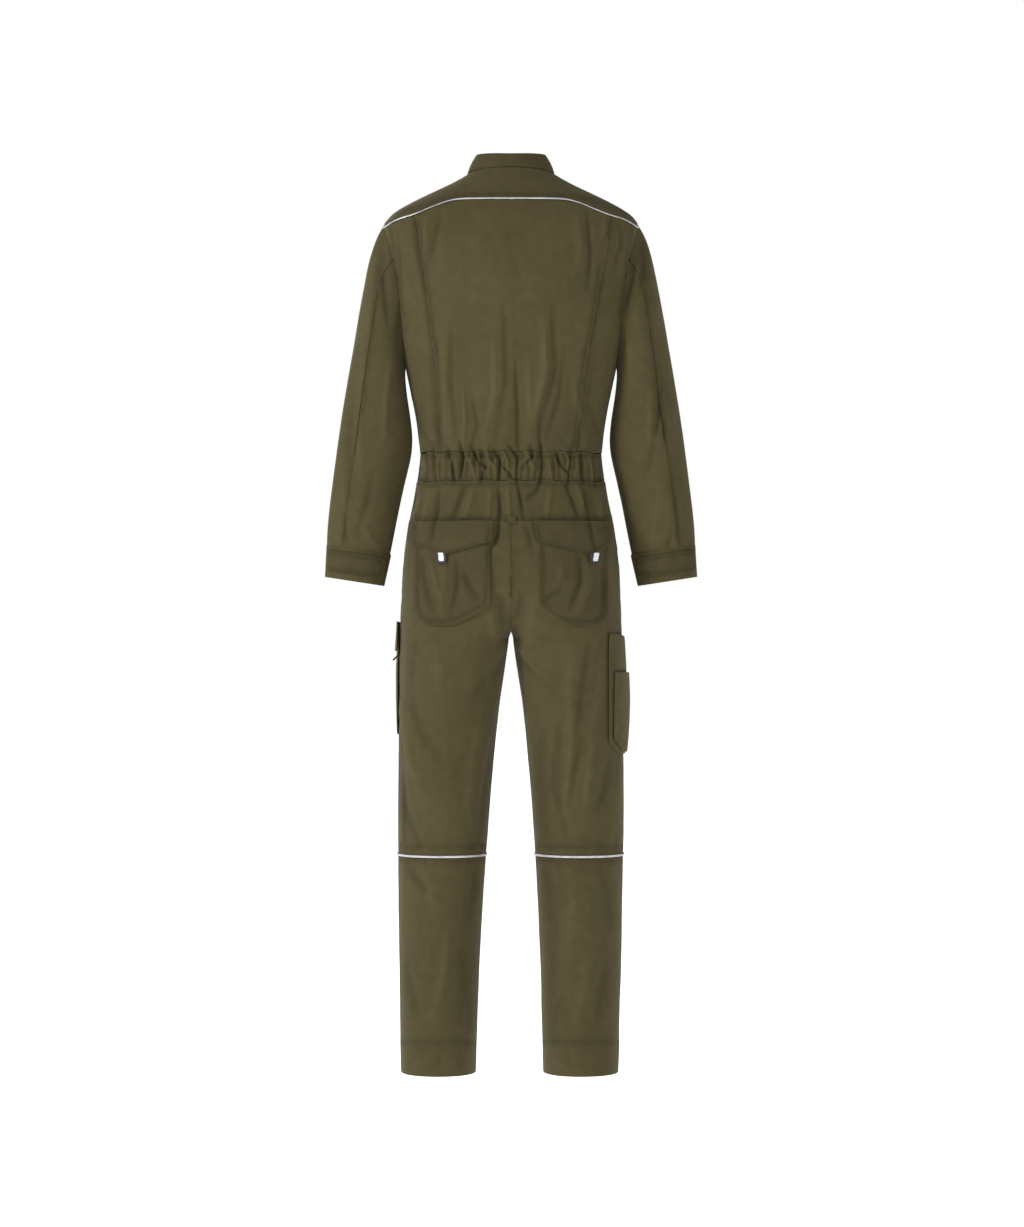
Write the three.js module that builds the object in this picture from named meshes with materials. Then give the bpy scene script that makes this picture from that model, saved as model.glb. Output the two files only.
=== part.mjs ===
import * as THREE from 'three';

// Boiler suit, worn form with no wearer. Millimetres, +Z up, front faces -Y, the wearer's left is +X.
// Height 0 is the neck and shoulder point on the centre plane.

// Cloth and seam sizes.
const CLOTH_WALL = 1.5;
const TRIM_WALL = 1.2;
const SEAM_BACKOFF = 0.35;
const LAY_GAP = 0.7;

// Levels down the garment.
const CASING_TOP = -486;
const CASING_BOTTOM = -536;
const SEAT_SEAM = -605.5;
const KNEE_SEAM = -1186;
const HEM = -1568;
const HEM_TURN_UP = 46;
const ARMHOLE_TOP = -82;
const ARMHOLE_YOKE_END = -93;
const ARMHOLE_BOTTOM = -335;
const ARMHOLE_HALF_DEPTH = 55;
const FRONT_EDGE_X = 3;
const FLY_HALF_WIDTH = 21;
const FLY_BOTTOM = -726;

const OLIVE = 0x57502f;
const SILVER = 0xc9cbc8;
const BLACK = 0x17181a;

// Torso rings: half width, depth to the front and to the back, and how square the ring is.
const BODY_RINGS = [
  { z: 24, half: 67, front: 56, back: 52, power: 2.1 },
  { z: 8, half: 71, front: 62, back: 60, power: 2.1 },
  { z: 0, half: 75.5, front: 67, back: 65, power: 2.1 },
  { z: -4, half: 82, front: 70, back: 68, power: 2.1 },
  { z: -10, half: 94, front: 74, back: 73, power: 2.1 },
  { z: -31, half: 141, front: 85, back: 84, power: 2.1 },
  { z: -56, half: 191, front: 96, back: 95, power: 2.2 },
  { z: -73, half: 216, front: 102, back: 101, power: 2.3 },
  { z: -93, half: 223, front: 108, back: 107, power: 2.5 },
  { z: -156, half: 212, front: 118, back: 117, power: 2.7 },
  { z: -212, half: 204, front: 122, back: 120, power: 2.7 },
  { z: -270, half: 196, front: 124, back: 120, power: 2.7 },
  { z: -335, half: 185, front: 121, back: 115, power: 2.6 },
  { z: -383, half: 174, front: 117, back: 110, power: 2.5 },
  { z: -457, half: 161, front: 111, back: 103, power: 2.4 },
  { z: -486, half: 159, front: 109, back: 102, power: 2.4 },
  { z: -536, half: 165, front: 111, back: 107, power: 2.4 },
  { z: -568, half: 170, front: 113, back: 114, power: 2.4 },
  { z: -606, half: 179, front: 116, back: 124, power: 2.4 },
  { z: -672, half: 188, front: 119, back: 133, power: 2.4 },
  { z: -740, half: 191, front: 118, back: 134, power: 2.4 },
  { z: -810, half: 193, front: 113, back: 126, power: 2.3 },
  { z: -910, half: 196, front: 104, back: 112, power: 2.2 },
];

// Leg rings: centre of the leg, half width, depth each way, how square, and how far the right leg
// stands closer in.
const LEG_RINGS = [
  { z: -735, centre: 98, half: 95, front: 117, back: 132, power: 3.2, shift: 0 },
  { z: -807, centre: 99, half: 95, front: 112, back: 124, power: 3.0, shift: 0 },
  { z: -870, centre: 104, half: 92, front: 104, back: 112, power: 2.7, shift: 0 },
  { z: -917, centre: 108, half: 88, front: 100, back: 106, power: 2.45, shift: 0 },
  { z: -1012, centre: 113, half: 84, front: 95, back: 98, power: 2.25, shift: 0 },
  { z: -1092, centre: 117, half: 81, front: 91, back: 92, power: 2.15, shift: 0 },
  { z: -1190, centre: 120.5, half: 77, front: 86, back: 86, power: 2.1, shift: 1 },
  { z: -1365, centre: 125, half: 71, front: 79, back: 80, power: 2.1, shift: 3 },
  { z: -1470, centre: 126, half: 68.5, front: 76, back: 78, power: 2.1, shift: 4 },
  { z: -1568, centre: 127, half: 66, front: 74, back: 76, power: 2.1, shift: 5 },
];

// How far each level has turned from one body ring (0) into two leg rings (1): the crotch curve.
const CROTCH_TURN = [
  { z: -702, turn: 0 },
  { z: -735, turn: 0.025 },
  { z: -765, turn: 0.09 },
  { z: -785, turn: 0.22 },
  { z: -796, turn: 0.38 },
  { z: -803, turn: 0.58 },
  { z: -807, turn: 0.8 },
  { z: -809.5, turn: 1 },
];

// Levels between which the places spread round the legs and the body ring goes over to leg rings.
const LEG_SPREAD_START = -640;
const LEG_SPREAD_END = -860;
const LEG_FORM_START = -690;
const LEG_FORM_END = -905;

// Neck line: level of the neck edge from centre front (-1) past the side (0) to centre back (1).
const NECK_LINE = [
  { place: 1, level: 12 },
  { place: 0.5, level: 9 },
  { place: 0, level: 2 },
  { place: -0.34, level: -2 },
  { place: -0.66, level: -12 },
  { place: -0.9, level: -38 },
  { place: -1, level: -62 },
];

// Seam between the centre back panel and the side back panels, each side's distance from the middle.
const PRINCESS_SEAM = [
  { z: -70, left: 170, right: 175 },
  { z: -131, left: 160, right: 165 },
  { z: -225, left: 146, right: 152 },
  { z: -285, left: 139, right: 140 },
  { z: -349, left: 131, right: 129 },
  { z: -397, left: 127, right: 124 },
  { z: -449, left: 127, right: 117 },
  { z: -486, left: 126, right: 114 },
];

// Yoke seam with its piping: level by distance from the middle of the back.
const YOKE_SEAM = [
  { x: 0, level: -50 },
  { x: 70, level: -50 },
  { x: 98, level: -51 },
  { x: 122, level: -58 },
  { x: 150, level: -69 },
  { x: 172, level: -78 },
  { x: 198, level: -83 },
  { x: 214, level: -93 },
];

// Sleeve rings from the armhole down: outer point, inner point, half depth.
const SLEEVE_RINGS = [
  { outX: 240, outZ: -112, inX: 186, inZ: -348, deep: 62 },
  { outX: 252, outZ: -158, inX: 185, inZ: -361, deep: 67 },
  { outX: 264, outZ: -220, inX: 183, inZ: -378, deep: 69 },
  { outX: 277, outZ: -295, inX: 179, inZ: -402, deep: 68 },
  { outX: 289, outZ: -370, inX: 173, inZ: -435, deep: 65 },
  { outX: 301, outZ: -448, inX: 170, inZ: -480, deep: 61 },
  { outX: 310, outZ: -515, inX: 182, inZ: -530, deep: 56 },
  { outX: 317, outZ: -570, inX: 192, inZ: -575, deep: 50 },
  { outX: 322, outZ: -615, inX: 201, inZ: -622, deep: 43 },
  { outX: 323, outZ: -649, inX: 210, inZ: -665, deep: 36 },
];
const CUFF_END = { outX: 326, outZ: -702, inX: 222, inZ: -718, deep: 33 };

// Folds: a soft ridge (+) or trough (-) along three points on the back or front, seen from outside.
const FOLDS = [
  { face: 1, x1: 118, z1: -72, x2: 130, z2: -110, x3: 138, z3: -165, height: -3.5, width: 9 },
  { face: 1, x1: 104, z1: -66, x2: 116, z2: -105, x3: 122, z3: -160, height: 3, width: 9 },
  { face: 1, x1: -142, z1: -66, x2: -146, z2: -130, x3: -160, z3: -230, height: -3.5, width: 9 },
  { face: 1, x1: -176, z1: -96, x2: -188, z2: -112, x3: -196, z3: -130, height: -3, width: 7 },
  { face: 1, x1: 101, z1: -262, x2: 103, z2: -365, x3: 90, z3: -470, height: 4, width: 11 },
  { face: 1, x1: 70, z1: -300, x2: 74, z2: -390, x3: 62, z3: -478, height: -3, width: 10 },
  { face: 1, x1: 14, z1: -275, x2: 9, z2: -420, x3: 30, z3: -478, height: 4.5, width: 12 },
  { face: 1, x1: -14, z1: -380, x2: -16, z2: -430, x3: -10, z3: -480, height: -3, width: 9 },
  { face: 1, x1: -72, z1: -272, x2: -58, z2: -360, x3: -44, z3: -470, height: 4.5, width: 11 },
  { face: 1, x1: -98, z1: -300, x2: -102, z2: -360, x3: -120, z3: -440, height: -3, width: 10 },
  { face: 1, x1: -128, z1: -350, x2: -138, z2: -400, x3: -154, z3: -458, height: 3.5, width: 10 },
  { face: 1, x1: 168, z1: -395, x2: 156, z2: -430, x3: 146, z3: -462, height: 3.5, width: 9 },
  { face: 1, x1: 124, z1: -540, x2: 132, z2: -566, x3: 142, z3: -592, height: -3, width: 8 },
  { face: 1, x1: 74, z1: -538, x2: 86, z2: -560, x3: 100, z3: -580, height: 3, width: 8 },
  { face: 1, x1: 24, z1: -540, x2: 24, z2: -572, x3: 23, z3: -604, height: -2.5, width: 6 },
  { face: 1, x1: -12, z1: -540, x2: -13, z2: -570, x3: -12, z3: -604, height: 3, width: 7 },
  { face: 1, x1: -84, z1: -540, x2: -94, z2: -568, x3: -104, z3: -600, height: -3, width: 8 },
  { face: 1, x1: -102, z1: -548, x2: -118, z2: -580, x3: -130, z3: -604, height: 3, width: 8 },
  { face: 1, x1: 20, z1: -690, x2: 32, z2: -760, x3: 60, z3: -840, height: -4, width: 16 },
  { face: 1, x1: -20, z1: -690, x2: -34, z2: -760, x3: -64, z3: -850, height: -4, width: 16 },
  { face: 1, x1: 120, z1: -860, x2: 108, z2: -960, x3: 116, z3: -1080, height: 3.5, width: 22 },
  { face: 1, x1: -128, z1: -850, x2: -112, z2: -950, x3: -118, z3: -1090, height: 3.5, width: 22 },
  { face: 1, x1: 150, z1: -1215, x2: 142, z2: -1330, x3: 150, z3: -1450, height: 3, width: 18 },
  { face: 1, x1: -98, z1: -1220, x2: -106, z2: -1320, x3: -100, z3: -1440, height: 3, width: 18 },
  { face: -1, x1: 150, z1: -130, x2: 130, z2: -230, x3: 118, z3: -330, height: 4, width: 16 },
  { face: -1, x1: -146, z1: -140, x2: -132, z2: -250, x3: -112, z3: -340, height: 4, width: 16 },
  { face: -1, x1: 96, z1: -340, x2: 88, z2: -410, x3: 94, z3: -474, height: 3.5, width: 12 },
  { face: -1, x1: 58, z1: -370, x2: 54, z2: -430, x3: 60, z3: -478, height: -3, width: 11 },
  { face: -1, x1: -90, z1: -330, x2: -84, z2: -400, x3: -92, z3: -472, height: 3.5, width: 12 },
  { face: -1, x1: -126, z1: -380, x2: -132, z2: -430, x3: -128, z3: -474, height: 3, width: 12 },
  { face: -1, x1: 60, z1: -560, x2: 90, z2: -640, x3: 110, z3: -720, height: 3.5, width: 16 },
  { face: -1, x1: -66, z1: -570, x2: -88, z2: -650, x3: -116, z3: -730, height: 3.5, width: 16 },
  { face: -1, x1: 40, z1: -790, x2: 70, z2: -830, x3: 104, z3: -860, height: -3.5, width: 14 },
  { face: -1, x1: -44, z1: -796, x2: -72, z2: -834, x3: -110, z3: -870, height: -3.5, width: 14 },
];

// Sleeve folds, by the same columns, on the back (1) and front (-1) of each sleeve.
const SLEEVE_FOLDS = [
  { face: 1, x1: 285, z1: -420, x2: 268, z2: -520, x3: 276, z3: -600, height: 3.5, width: 13 },
  { face: 1, x1: 236, z1: -150, x2: 222, z2: -230, x3: 214, z3: -330, height: -3, width: 12 },
  { face: 1, x1: -226, z1: -160, x2: -232, z2: -210, x3: -246, z3: -300, height: -3.5, width: 11 },
  { face: 1, x1: -262, z1: -360, x2: -258, z2: -410, x3: -248, z3: -450, height: -4, width: 11 },
  { face: 1, x1: -272, z1: -420, x2: -270, z2: -450, x3: -284, z3: -520, height: 3.5, width: 11 },
  { face: -1, x1: 248, z1: -380, x2: 232, z2: -430, x3: 208, z3: -455, height: -4, width: 12 },
  { face: -1, x1: -240, z1: -390, x2: -226, z2: -440, x3: -204, z3: -462, height: -4, width: 12 },
  { face: -1, x1: 270, z1: -470, x2: 262, z2: -540, x3: 268, z3: -610, height: 3, width: 14 },
];

// Gathers of the elasticated casing across the back: place of each valley and how far its foot leans.
const GATHERS = [
  { x: 148, lean: 2 }, { x: 136, lean: -3 }, { x: 121, lean: 2 }, { x: 109, lean: 0 },
  { x: 99, lean: -4 }, { x: 86, lean: 3 }, { x: 73, lean: 6 }, { x: 62, lean: -2 },
  { x: 51, lean: 0 }, { x: 44, lean: -5 }, { x: 32, lean: 0 }, { x: 19, lean: 2 },
  { x: 7, lean: -2 }, { x: -8, lean: -3 }, { x: -20, lean: 3 }, { x: -33, lean: 2 },
  { x: -45, lean: 8 }, { x: -58, lean: 0 }, { x: -71, lean: -4 }, { x: -83, lean: -6 },
  { x: -95, lean: -2 }, { x: -108, lean: 3 }, { x: -120, lean: 0 }, { x: -134, lean: 2 },
  { x: -147, lean: 0 },
];
const GATHER_HEIGHT = 2.4;

const vec = (x, y, z) => new THREE.Vector3(x, y, z);
const mix = (a, b, t) => a + (b - a) * t;
const clamp01 = (t) => Math.min(1, Math.max(0, t));
const ease = (t) => clamp01(t) ** 2 * (3 - 2 * clamp01(t));

// A smooth value between the rows of a table that runs along one column.
function between(rows, along, column, at) {
  const falling = rows[0][along] > rows[rows.length - 1][along];
  const place = falling ? -at : at;
  const key = (i) => (falling ? -rows[i][along] : rows[i][along]);
  if (place <= key(0)) return rows[0][column];
  if (place >= key(rows.length - 1)) return rows[rows.length - 1][column];
  let i = 0;
  while (place > key(i + 1)) i += 1;
  const slope = (k) => {
    const lo = Math.max(0, k - 1);
    const hi = Math.min(rows.length - 1, k + 1);
    return (rows[hi][column] - rows[lo][column]) / (key(hi) - key(lo));
  };
  const span = key(i + 1) - key(i);
  const t = (place - key(i)) / span;
  const t2 = t * t;
  const t3 = t2 * t;
  return (2 * t3 - 3 * t2 + 1) * rows[i][column] + (t3 - 2 * t2 + t) * span * slope(i)
    + (3 * t2 - 2 * t3) * rows[i + 1][column] + (t3 - t2) * span * slope(i + 1);
}

// How far a fold table lifts the cloth at one place on one face.
function foldHeight(table, face, x, z) {
  let lift = 0;
  for (const fold of table) {
    if (fold.face !== face) continue;
    const pieces = [
      [fold.x1, fold.z1, fold.x2, fold.z2, 0],
      [fold.x2, fold.z2, fold.x3, fold.z3, 0.5],
    ];
    let nearest = Infinity;
    let along = 0;
    for (const [ax, az, bx, bz, start] of pieces) {
      const lengthSquared = (bx - ax) ** 2 + (bz - az) ** 2;
      const t = clamp01(((x - ax) * (bx - ax) + (z - az) * (bz - az)) / lengthSquared);
      const distance = Math.hypot(x - mix(ax, bx, t), z - mix(az, bz, t));
      if (distance < nearest) {
        nearest = distance;
        along = start + t / 2;
      }
    }
    const taper = Math.sqrt(clamp01(4 * along * (1 - along) + 0.1));
    lift += fold.height * taper * Math.exp(-((nearest / fold.width) ** 2));
  }
  return lift;
}

// How far a level has gone over from the body ring to the leg rings, from 0 to 1.
const legShare = (z, start, end) => ease((start - z) / (start - end));

// A point of a squared ring at an angle from its side.
function ringPoint(half, depth, power, angle) {
  const c = Math.max(0, Math.abs(Math.cos(angle)));
  const s = Math.max(0, Math.abs(Math.sin(angle)));
  const reach = 1 / (c ** power + s ** power) ** (1 / power);
  return [half * Math.cos(angle) * reach, depth * s * reach];
}

// Depth of a squared ring at a distance from its middle, where cut is 1 for a closed ring and less
// for one that stays open at its end.
const depthAt = (depth, power, reach, cut = 1) => (
  depth * Math.max(0, 1 - cut * reach ** power) ** (1 / power)
);

// The suit's smooth outer form without folds. Place runs from centre front or inseam (-1), past the
// side seam (0), to centre back or inseam (1). Below the seat one body ring closes into two leg
// rings: the inner half of each is rounded in along the crotch curve, the outer half slowly.
function formPoint(side, z, place) {
  const face = place >= 0 ? 'back' : 'front';
  const t = Math.abs(place);
  const half = between(BODY_RINGS, 'z', 'half', z);
  const depth = between(BODY_RINGS, 'z', face, z);
  const power = between(BODY_RINGS, 'z', 'power', z);
  let [x, y] = ringPoint(half, depth, power, t * Math.PI / 2);
  if (z < LEG_SPREAD_START) {
    const legPower = between(LEG_RINGS, 'z', 'power', z);
    const legHalf = between(LEG_RINGS, 'z', 'half', z);
    const legDepth = between(LEG_RINGS, 'z', face, z);
    const leg = ringPoint(legHalf, legDepth, legPower, t * Math.PI);
    const turn = z < CROTCH_TURN[0].z ? clamp01(between(CROTCH_TURN, 'z', 'turn', z)) : 0;
    const spread = legShare(z, LEG_SPREAD_START, LEG_SPREAD_END);
    const share = legShare(z, LEG_FORM_START, LEG_FORM_END);
    const centre = between(LEG_RINGS, 'z', 'centre', z);
    const inner = (centre - legHalf) * turn;
    const legX = leg[0] >= 0 ? centre + leg[0] : centre + leg[0] * (centre - inner) / legHalf;
    x = mix(x, legX, spread);
    if (share < 1) {
      const outer = mix(half, centre + legHalf, spread);
      const reach = clamp01((centre - x) / (centre - spread * inner));
      const bodyDepth = depthAt(depth, power, clamp01(x / outer));
      const cut = 1 - (1 - turn) ** legPower;
      y = x < centre
        ? depthAt(mix(bodyDepth, legDepth, share), legPower, reach, cut)
        : mix(bodyDepth, depthAt(legDepth, legPower, clamp01((x - centre) / (outer - centre))), share);
    } else {
      y = leg[1];
    }
    x -= side < 0 ? between(LEG_RINGS, 'z', 'shift', z) * spread : 0;
  }
  return vec(side * x, place >= 0 ? y : -y, z);
}

function formNormal(side, z, place) {
  const step = 0.004;
  const rise = 1.5;
  const across = formPoint(side, z, Math.min(1, place + step));
  across.sub(formPoint(side, z, Math.max(-1, place - step)));
  const down = formPoint(side, z - rise, place).sub(formPoint(side, z + rise, place));
  const normal = across.cross(down).normalize();
  return side > 0 ? normal.negate() : normal;
}

// The outer form with its folds, moved out by a lift.
function formSkin(side, z, place, lift = 0) {
  const point = formPoint(side, z, place);
  const fade = clamp01(Math.abs(place) * 9);
  const fold = fade * foldHeight(FOLDS, place >= 0 ? 1 : -1, point.x, z);
  return point.addScaledVector(formNormal(side, z, place), fold + lift);
}

// The place on a level where the form reaches a distance from the middle.
function placeAtX(side, z, face, x) {
  let near = 0;
  let far = 1;
  for (let i = 0; i < 34; i += 1) {
    const middle = (near + far) / 2;
    if (Math.abs(formPoint(side, z, face * middle).x) > x) near = middle;
    else far = middle;
  }
  return face * (near + far) / 2;
}

const skinAtX = (x, z, face, lift = 0) => {
  const side = x >= 0 ? 1 : -1;
  return formSkin(side, z, placeAtX(side, z, face, Math.abs(x)), lift);
};

// The same for a piece laid on a panel: it bridges the troughs of the folds below it.
function laidSkin(side, z, place, lift) {
  const point = formPoint(side, z, place);
  const fold = Math.max(0, foldHeight(FOLDS, place >= 0 ? 1 : -1, point.x, z));
  return point.addScaledVector(formNormal(side, z, place), fold + lift);
}

const laidAtX = (x, z, face, lift) => {
  const side = x >= 0 ? 1 : -1;
  return laidSkin(side, z, placeAtX(side, z, face, Math.abs(x)), lift);
};

// The armhole's edge on the form at a level.
function armholePlace(side, z, face) {
  const middle = (ARMHOLE_TOP + ARMHOLE_BOTTOM) / 2;
  const reach = (ARMHOLE_TOP - ARMHOLE_BOTTOM) / 2;
  const depth = ARMHOLE_HALF_DEPTH * Math.sqrt(Math.max(0, 1 - ((z - middle) / reach) ** 2));
  let near = 0;
  let far = 0.9;
  for (let i = 0; i < 34; i += 1) {
    const half = (near + far) / 2;
    if (Math.abs(formPoint(side, z, face * half).y) < depth) near = half;
    else far = half;
  }
  return face * (near + far) / 2;
}

const group = new THREE.Group();
group.name = 'boiler_suit';

function addMesh(name, positions, triangles, colour, roughness = 0.9, metalness = 0) {
  let volume = 0;
  const corner = (i) => vec(positions[3 * i], positions[3 * i + 1], positions[3 * i + 2]);
  for (let i = 0; i < triangles.length; i += 3) {
    volume += corner(triangles[i]).dot(corner(triangles[i + 1]).cross(corner(triangles[i + 2])));
  }
  if (volume < 0) {
    for (let i = 0; i < triangles.length; i += 3) {
      [triangles[i + 1], triangles[i + 2]] = [triangles[i + 2], triangles[i + 1]];
    }
  }
  const geometry = new THREE.BufferGeometry();
  geometry.setAttribute('position', new THREE.Float32BufferAttribute(positions, 3));
  geometry.setIndex(triangles);
  geometry.computeVertexNormals();
  const material = new THREE.MeshStandardMaterial({ color: colour, roughness, metalness });
  const mesh = new THREE.Mesh(geometry, material);
  mesh.name = name;
  group.add(mesh);
}

// Edges stand back from the seam line so that neighbours never touch.
function backOff(rows, closed, ends = SEAM_BACKOFF, sides = SEAM_BACKOFF) {
  const grid = rows.map((row) => row.map((point) => point.clone()));
  const last = grid.length - 1;
  const pull = (from, to, distance) => to.clone().sub(from).setLength(distance);
  rows[0].forEach((point, j) => grid[0][j].add(pull(point, rows[1][j], ends)));
  rows[last].forEach((point, j) => grid[last][j].add(pull(point, rows[last - 1][j], ends)));
  if (!closed) {
    rows.forEach((row, i) => {
      const end = row.length - 1;
      grid[i][0].add(pull(row[0], row[1], sides));
      grid[i][end].add(pull(row[end], row[end - 1], sides));
    });
  }
  return grid;
}

// A cloth wall: the given grid is its outer face, the inner face lies one wall further in.
// The hub is a point inside the garment for each row, and wall may change from row to row.
function addWall(name, rows, hub, options = {}) {
  const { wall = CLOTH_WALL, closed = false, colour = OLIVE, seam = SEAM_BACKOFF, ends = seam,
    roughness = 0.9, metalness = 0 } = options;
  const outer = backOff(rows, closed, ends, seam);
  const rowCount = outer.length;
  const columnCount = outer[0].length;
  const column = (j) => (
    closed ? (j + columnCount) % columnCount : Math.min(columnCount - 1, Math.max(0, j))
  );
  const normals = outer.map((row, i) => row.map((point, j) => {
    const across = row[column(j + 1)].clone().sub(row[column(j - 1)]);
    const below = outer[Math.min(rowCount - 1, i + 1)][j];
    const above = outer[Math.max(0, i - 1)][j];
    return across.cross(below.clone().sub(above)).normalize();
  }));
  let facing = 0;
  outer.forEach((row, i) => row.forEach((point, j) => {
    facing += normals[i][j].dot(point.clone().sub(hub(i, point)));
  }));
  const outward = facing < 0 ? -1 : 1;
  const positions = [];
  for (const row of outer) {
    for (const point of row) positions.push(point.x, point.y, point.z);
  }
  outer.forEach((row, i) => row.forEach((point, j) => {
    const thick = typeof wall === 'function' ? wall(i) : wall;
    const inner = point.clone().addScaledVector(normals[i][j], -outward * thick);
    positions.push(inner.x, inner.y, inner.z);
  }));
  const far = rowCount * columnCount;
  const at = (i, j) => i * columnCount + column(j);
  const triangles = [];
  const quad = (a, b, c, d) => triangles.push(a, b, c, a, c, d);
  const spans = closed ? columnCount : columnCount - 1;
  for (let i = 0; i < rowCount - 1; i += 1) {
    for (let j = 0; j < spans; j += 1) {
      quad(at(i, j), at(i, j + 1), at(i + 1, j + 1), at(i + 1, j));
      quad(far + at(i, j), far + at(i + 1, j), far + at(i + 1, j + 1), far + at(i, j + 1));
    }
  }
  for (let j = 0; j < spans; j += 1) {
    quad(at(0, j + 1), at(0, j), far + at(0, j), far + at(0, j + 1));
    quad(at(rowCount - 1, j), at(rowCount - 1, j + 1), far + at(rowCount - 1, j + 1), far + at(rowCount - 1, j));
  }
  if (!closed) {
    for (let i = 0; i < rowCount - 1; i += 1) {
      quad(at(i, 0), at(i + 1, 0), far + at(i + 1, 0), far + at(i, 0));
      quad(at(i + 1, columnCount - 1), at(i, columnCount - 1), far + at(i, columnCount - 1),
        far + at(i + 1, columnCount - 1));
    }
  }
  addMesh(name, positions, triangles, colour, roughness, metalness);
}

const bodyHub = (i, point) => vec(0, 0, point.z);
const sideName = (side) => (side > 0 ? 'left' : 'right');
const steps = (count) => Array.from({ length: count + 1 }, (unused, i) => i / count);

// Levels of the rows that the back side panels, the fronts and the sleeves share along the armhole.
const ARMHOLE_LEVELS = [-93, -115, -150, -195, -245, -290, -318, -331, -335];
const SIDE_LEVELS = [-362, -400, -445, CASING_TOP];
const TORSO_LEVELS = [...ARMHOLE_LEVELS, ...SIDE_LEVELS];
const torsoDrop = TORSO_LEVELS.map((z) => (z - ARMHOLE_YOKE_END) / (CASING_TOP - ARMHOLE_YOKE_END));
const outerPlace = (side, z, face) => (z > ARMHOLE_BOTTOM ? armholePlace(side, z, face) : 0);

const princessX = (side, z) => between(PRINCESS_SEAM, 'z', side > 0 ? 'left' : 'right', Math.min(-76, z));
const yokeLevel = (x) => between(YOKE_SEAM, 'x', 'level', Math.abs(x));
const neckLevel = (place) => between(NECK_LINE, 'place', 'level', place);
const CENTRE_COLUMNS = 11;
const SIDE_COLUMNS = 4;

// Where the yoke seam and the princess seam cross on each side.
const princessTop = (side) => {
  let z = -76;
  for (let i = 0; i < 20; i += 1) z = yokeLevel(princessX(side, z));
  return z;
};

// Centre back panel between the two princess seams.
const centreRows = torsoDrop.map((drop) => {
  const row = [];
  for (let k = -CENTRE_COLUMNS; k <= CENTRE_COLUMNS; k += 1) {
    const side = k >= 0 ? 1 : -1;
    const share = Math.abs(k) / CENTRE_COLUMNS;
    const z = mix(yokeLevel(share * princessX(side, princessTop(side))), CASING_TOP, drop);
    row.push(skinAtX(side * share * princessX(side, z), z, 1));
  }
  return row;
});
addWall('back_centre', centreRows, bodyHub);

// Side back panels from the princess seam to the armhole and side seam.
for (const side of [1, -1]) {
  const rows = TORSO_LEVELS.map((level, i) => steps(SIDE_COLUMNS).map((share) => {
    const innerZ = mix(princessTop(side), CASING_TOP, torsoDrop[i]);
    const innerPlace = placeAtX(side, innerZ, 1, princessX(side, innerZ));
    const place = mix(innerPlace, outerPlace(side, level, 1), share);
    let z = mix(innerZ, level, share);
    if (i === 0 && share > 0 && share < 1) {
      const x = Math.abs(formPoint(side, z, place).x);
      z = yokeLevel(x);
    }
    return formSkin(side, z, place);
  }));
  addWall(`back_side_${sideName(side)}`, rows, bodyHub);
}

// Fronts from the fly edge to the armhole and side seam; their top follows the neck and the yoke.
const FRONT_COLUMNS = 10;
const FRONT_CORNER = 5;
for (const side of [1, -1]) {
  const topOuter = armholePlace(side, ARMHOLE_YOKE_END, -1);
  const edgePlace = (z) => placeAtX(side, z, -1, FRONT_EDGE_X);
  const topPlace = (share) => mix(-0.985, topOuter, share);
  const cornerShare = FRONT_CORNER / FRONT_COLUMNS;
  const cornerLevel = neckLevel(topPlace(cornerShare));
  const topLevel = (share) => (share <= cornerShare
    ? neckLevel(topPlace(share))
    : mix(cornerLevel, ARMHOLE_YOKE_END, (share - cornerShare) / (1 - cornerShare)));
  const rows = TORSO_LEVELS.map((level, i) => steps(FRONT_COLUMNS).map((share) => {
    const z = mix(topLevel(share), CASING_TOP, torsoDrop[i]);
    const inner = i === 0 ? topPlace(0) : edgePlace(z);
    return formSkin(side, z, mix(inner, outerPlace(side, level, -1), share));
  }));
  addWall(`front_body_${sideName(side)}`, rows, bodyHub);
}

// Yoke over both shoulders, from one front seam round the back to the other.
const yokeColumns = (side) => {
  const topOuter = armholePlace(side, ARMHOLE_YOKE_END, -1);
  const corner = mix(-0.985, topOuter, FRONT_CORNER / FRONT_COLUMNS);
  const armArc = [ARMHOLE_YOKE_END, -86];
  const columns = [{ neck: corner, place: topOuter, z: ARMHOLE_YOKE_END }];
  columns.push({ neck: -0.27, place: armholePlace(side, armArc[1], -1), z: armArc[1] });
  columns.push({ neck: 0, place: 0, z: ARMHOLE_TOP });
  columns.push({ neck: 0.1, place: armholePlace(side, armArc[1], 1), z: armArc[1] });
  columns.push({ neck: 0.2, place: armholePlace(side, armArc[0], 1), z: armArc[0] });
  const seamZ = princessTop(side);
  const seamX = princessX(side, seamZ);
  const seamPlace = placeAtX(side, seamZ, 1, seamX);
  for (let k = 1; k <= SIDE_COLUMNS; k += 1) {
    const share = 1 - k / SIDE_COLUMNS;
    const place = mix(seamPlace, armholePlace(side, ARMHOLE_YOKE_END, 1), share);
    let z = mix(seamZ, ARMHOLE_YOKE_END, share);
    if (share > 0) z = yokeLevel(Math.abs(formPoint(side, z, place).x));
    columns.push({ neck: 0.2 + 0.08 * k, place, z });
  }
  for (let k = 1; k <= CENTRE_COLUMNS; k += 1) {
    const x = seamX * (1 - k / CENTRE_COLUMNS);
    const z = yokeLevel(x);
    columns.push({ neck: 0.52 + 0.48 * k / CENTRE_COLUMNS, place: placeAtX(side, z, 1, x), z });
  }
  return columns;
};
const YOKE_ROWS = FRONT_COLUMNS - FRONT_CORNER;
const yokeRow = (share) => {
  const half = (side) => yokeColumns(side).map((column) => {
    const place = mix(column.neck, column.place, share);
    return formSkin(side, mix(neckLevel(column.neck), column.z, share), place);
  });
  const right = half(-1).reverse();
  return [...half(1), ...right.slice(1)];
};
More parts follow.
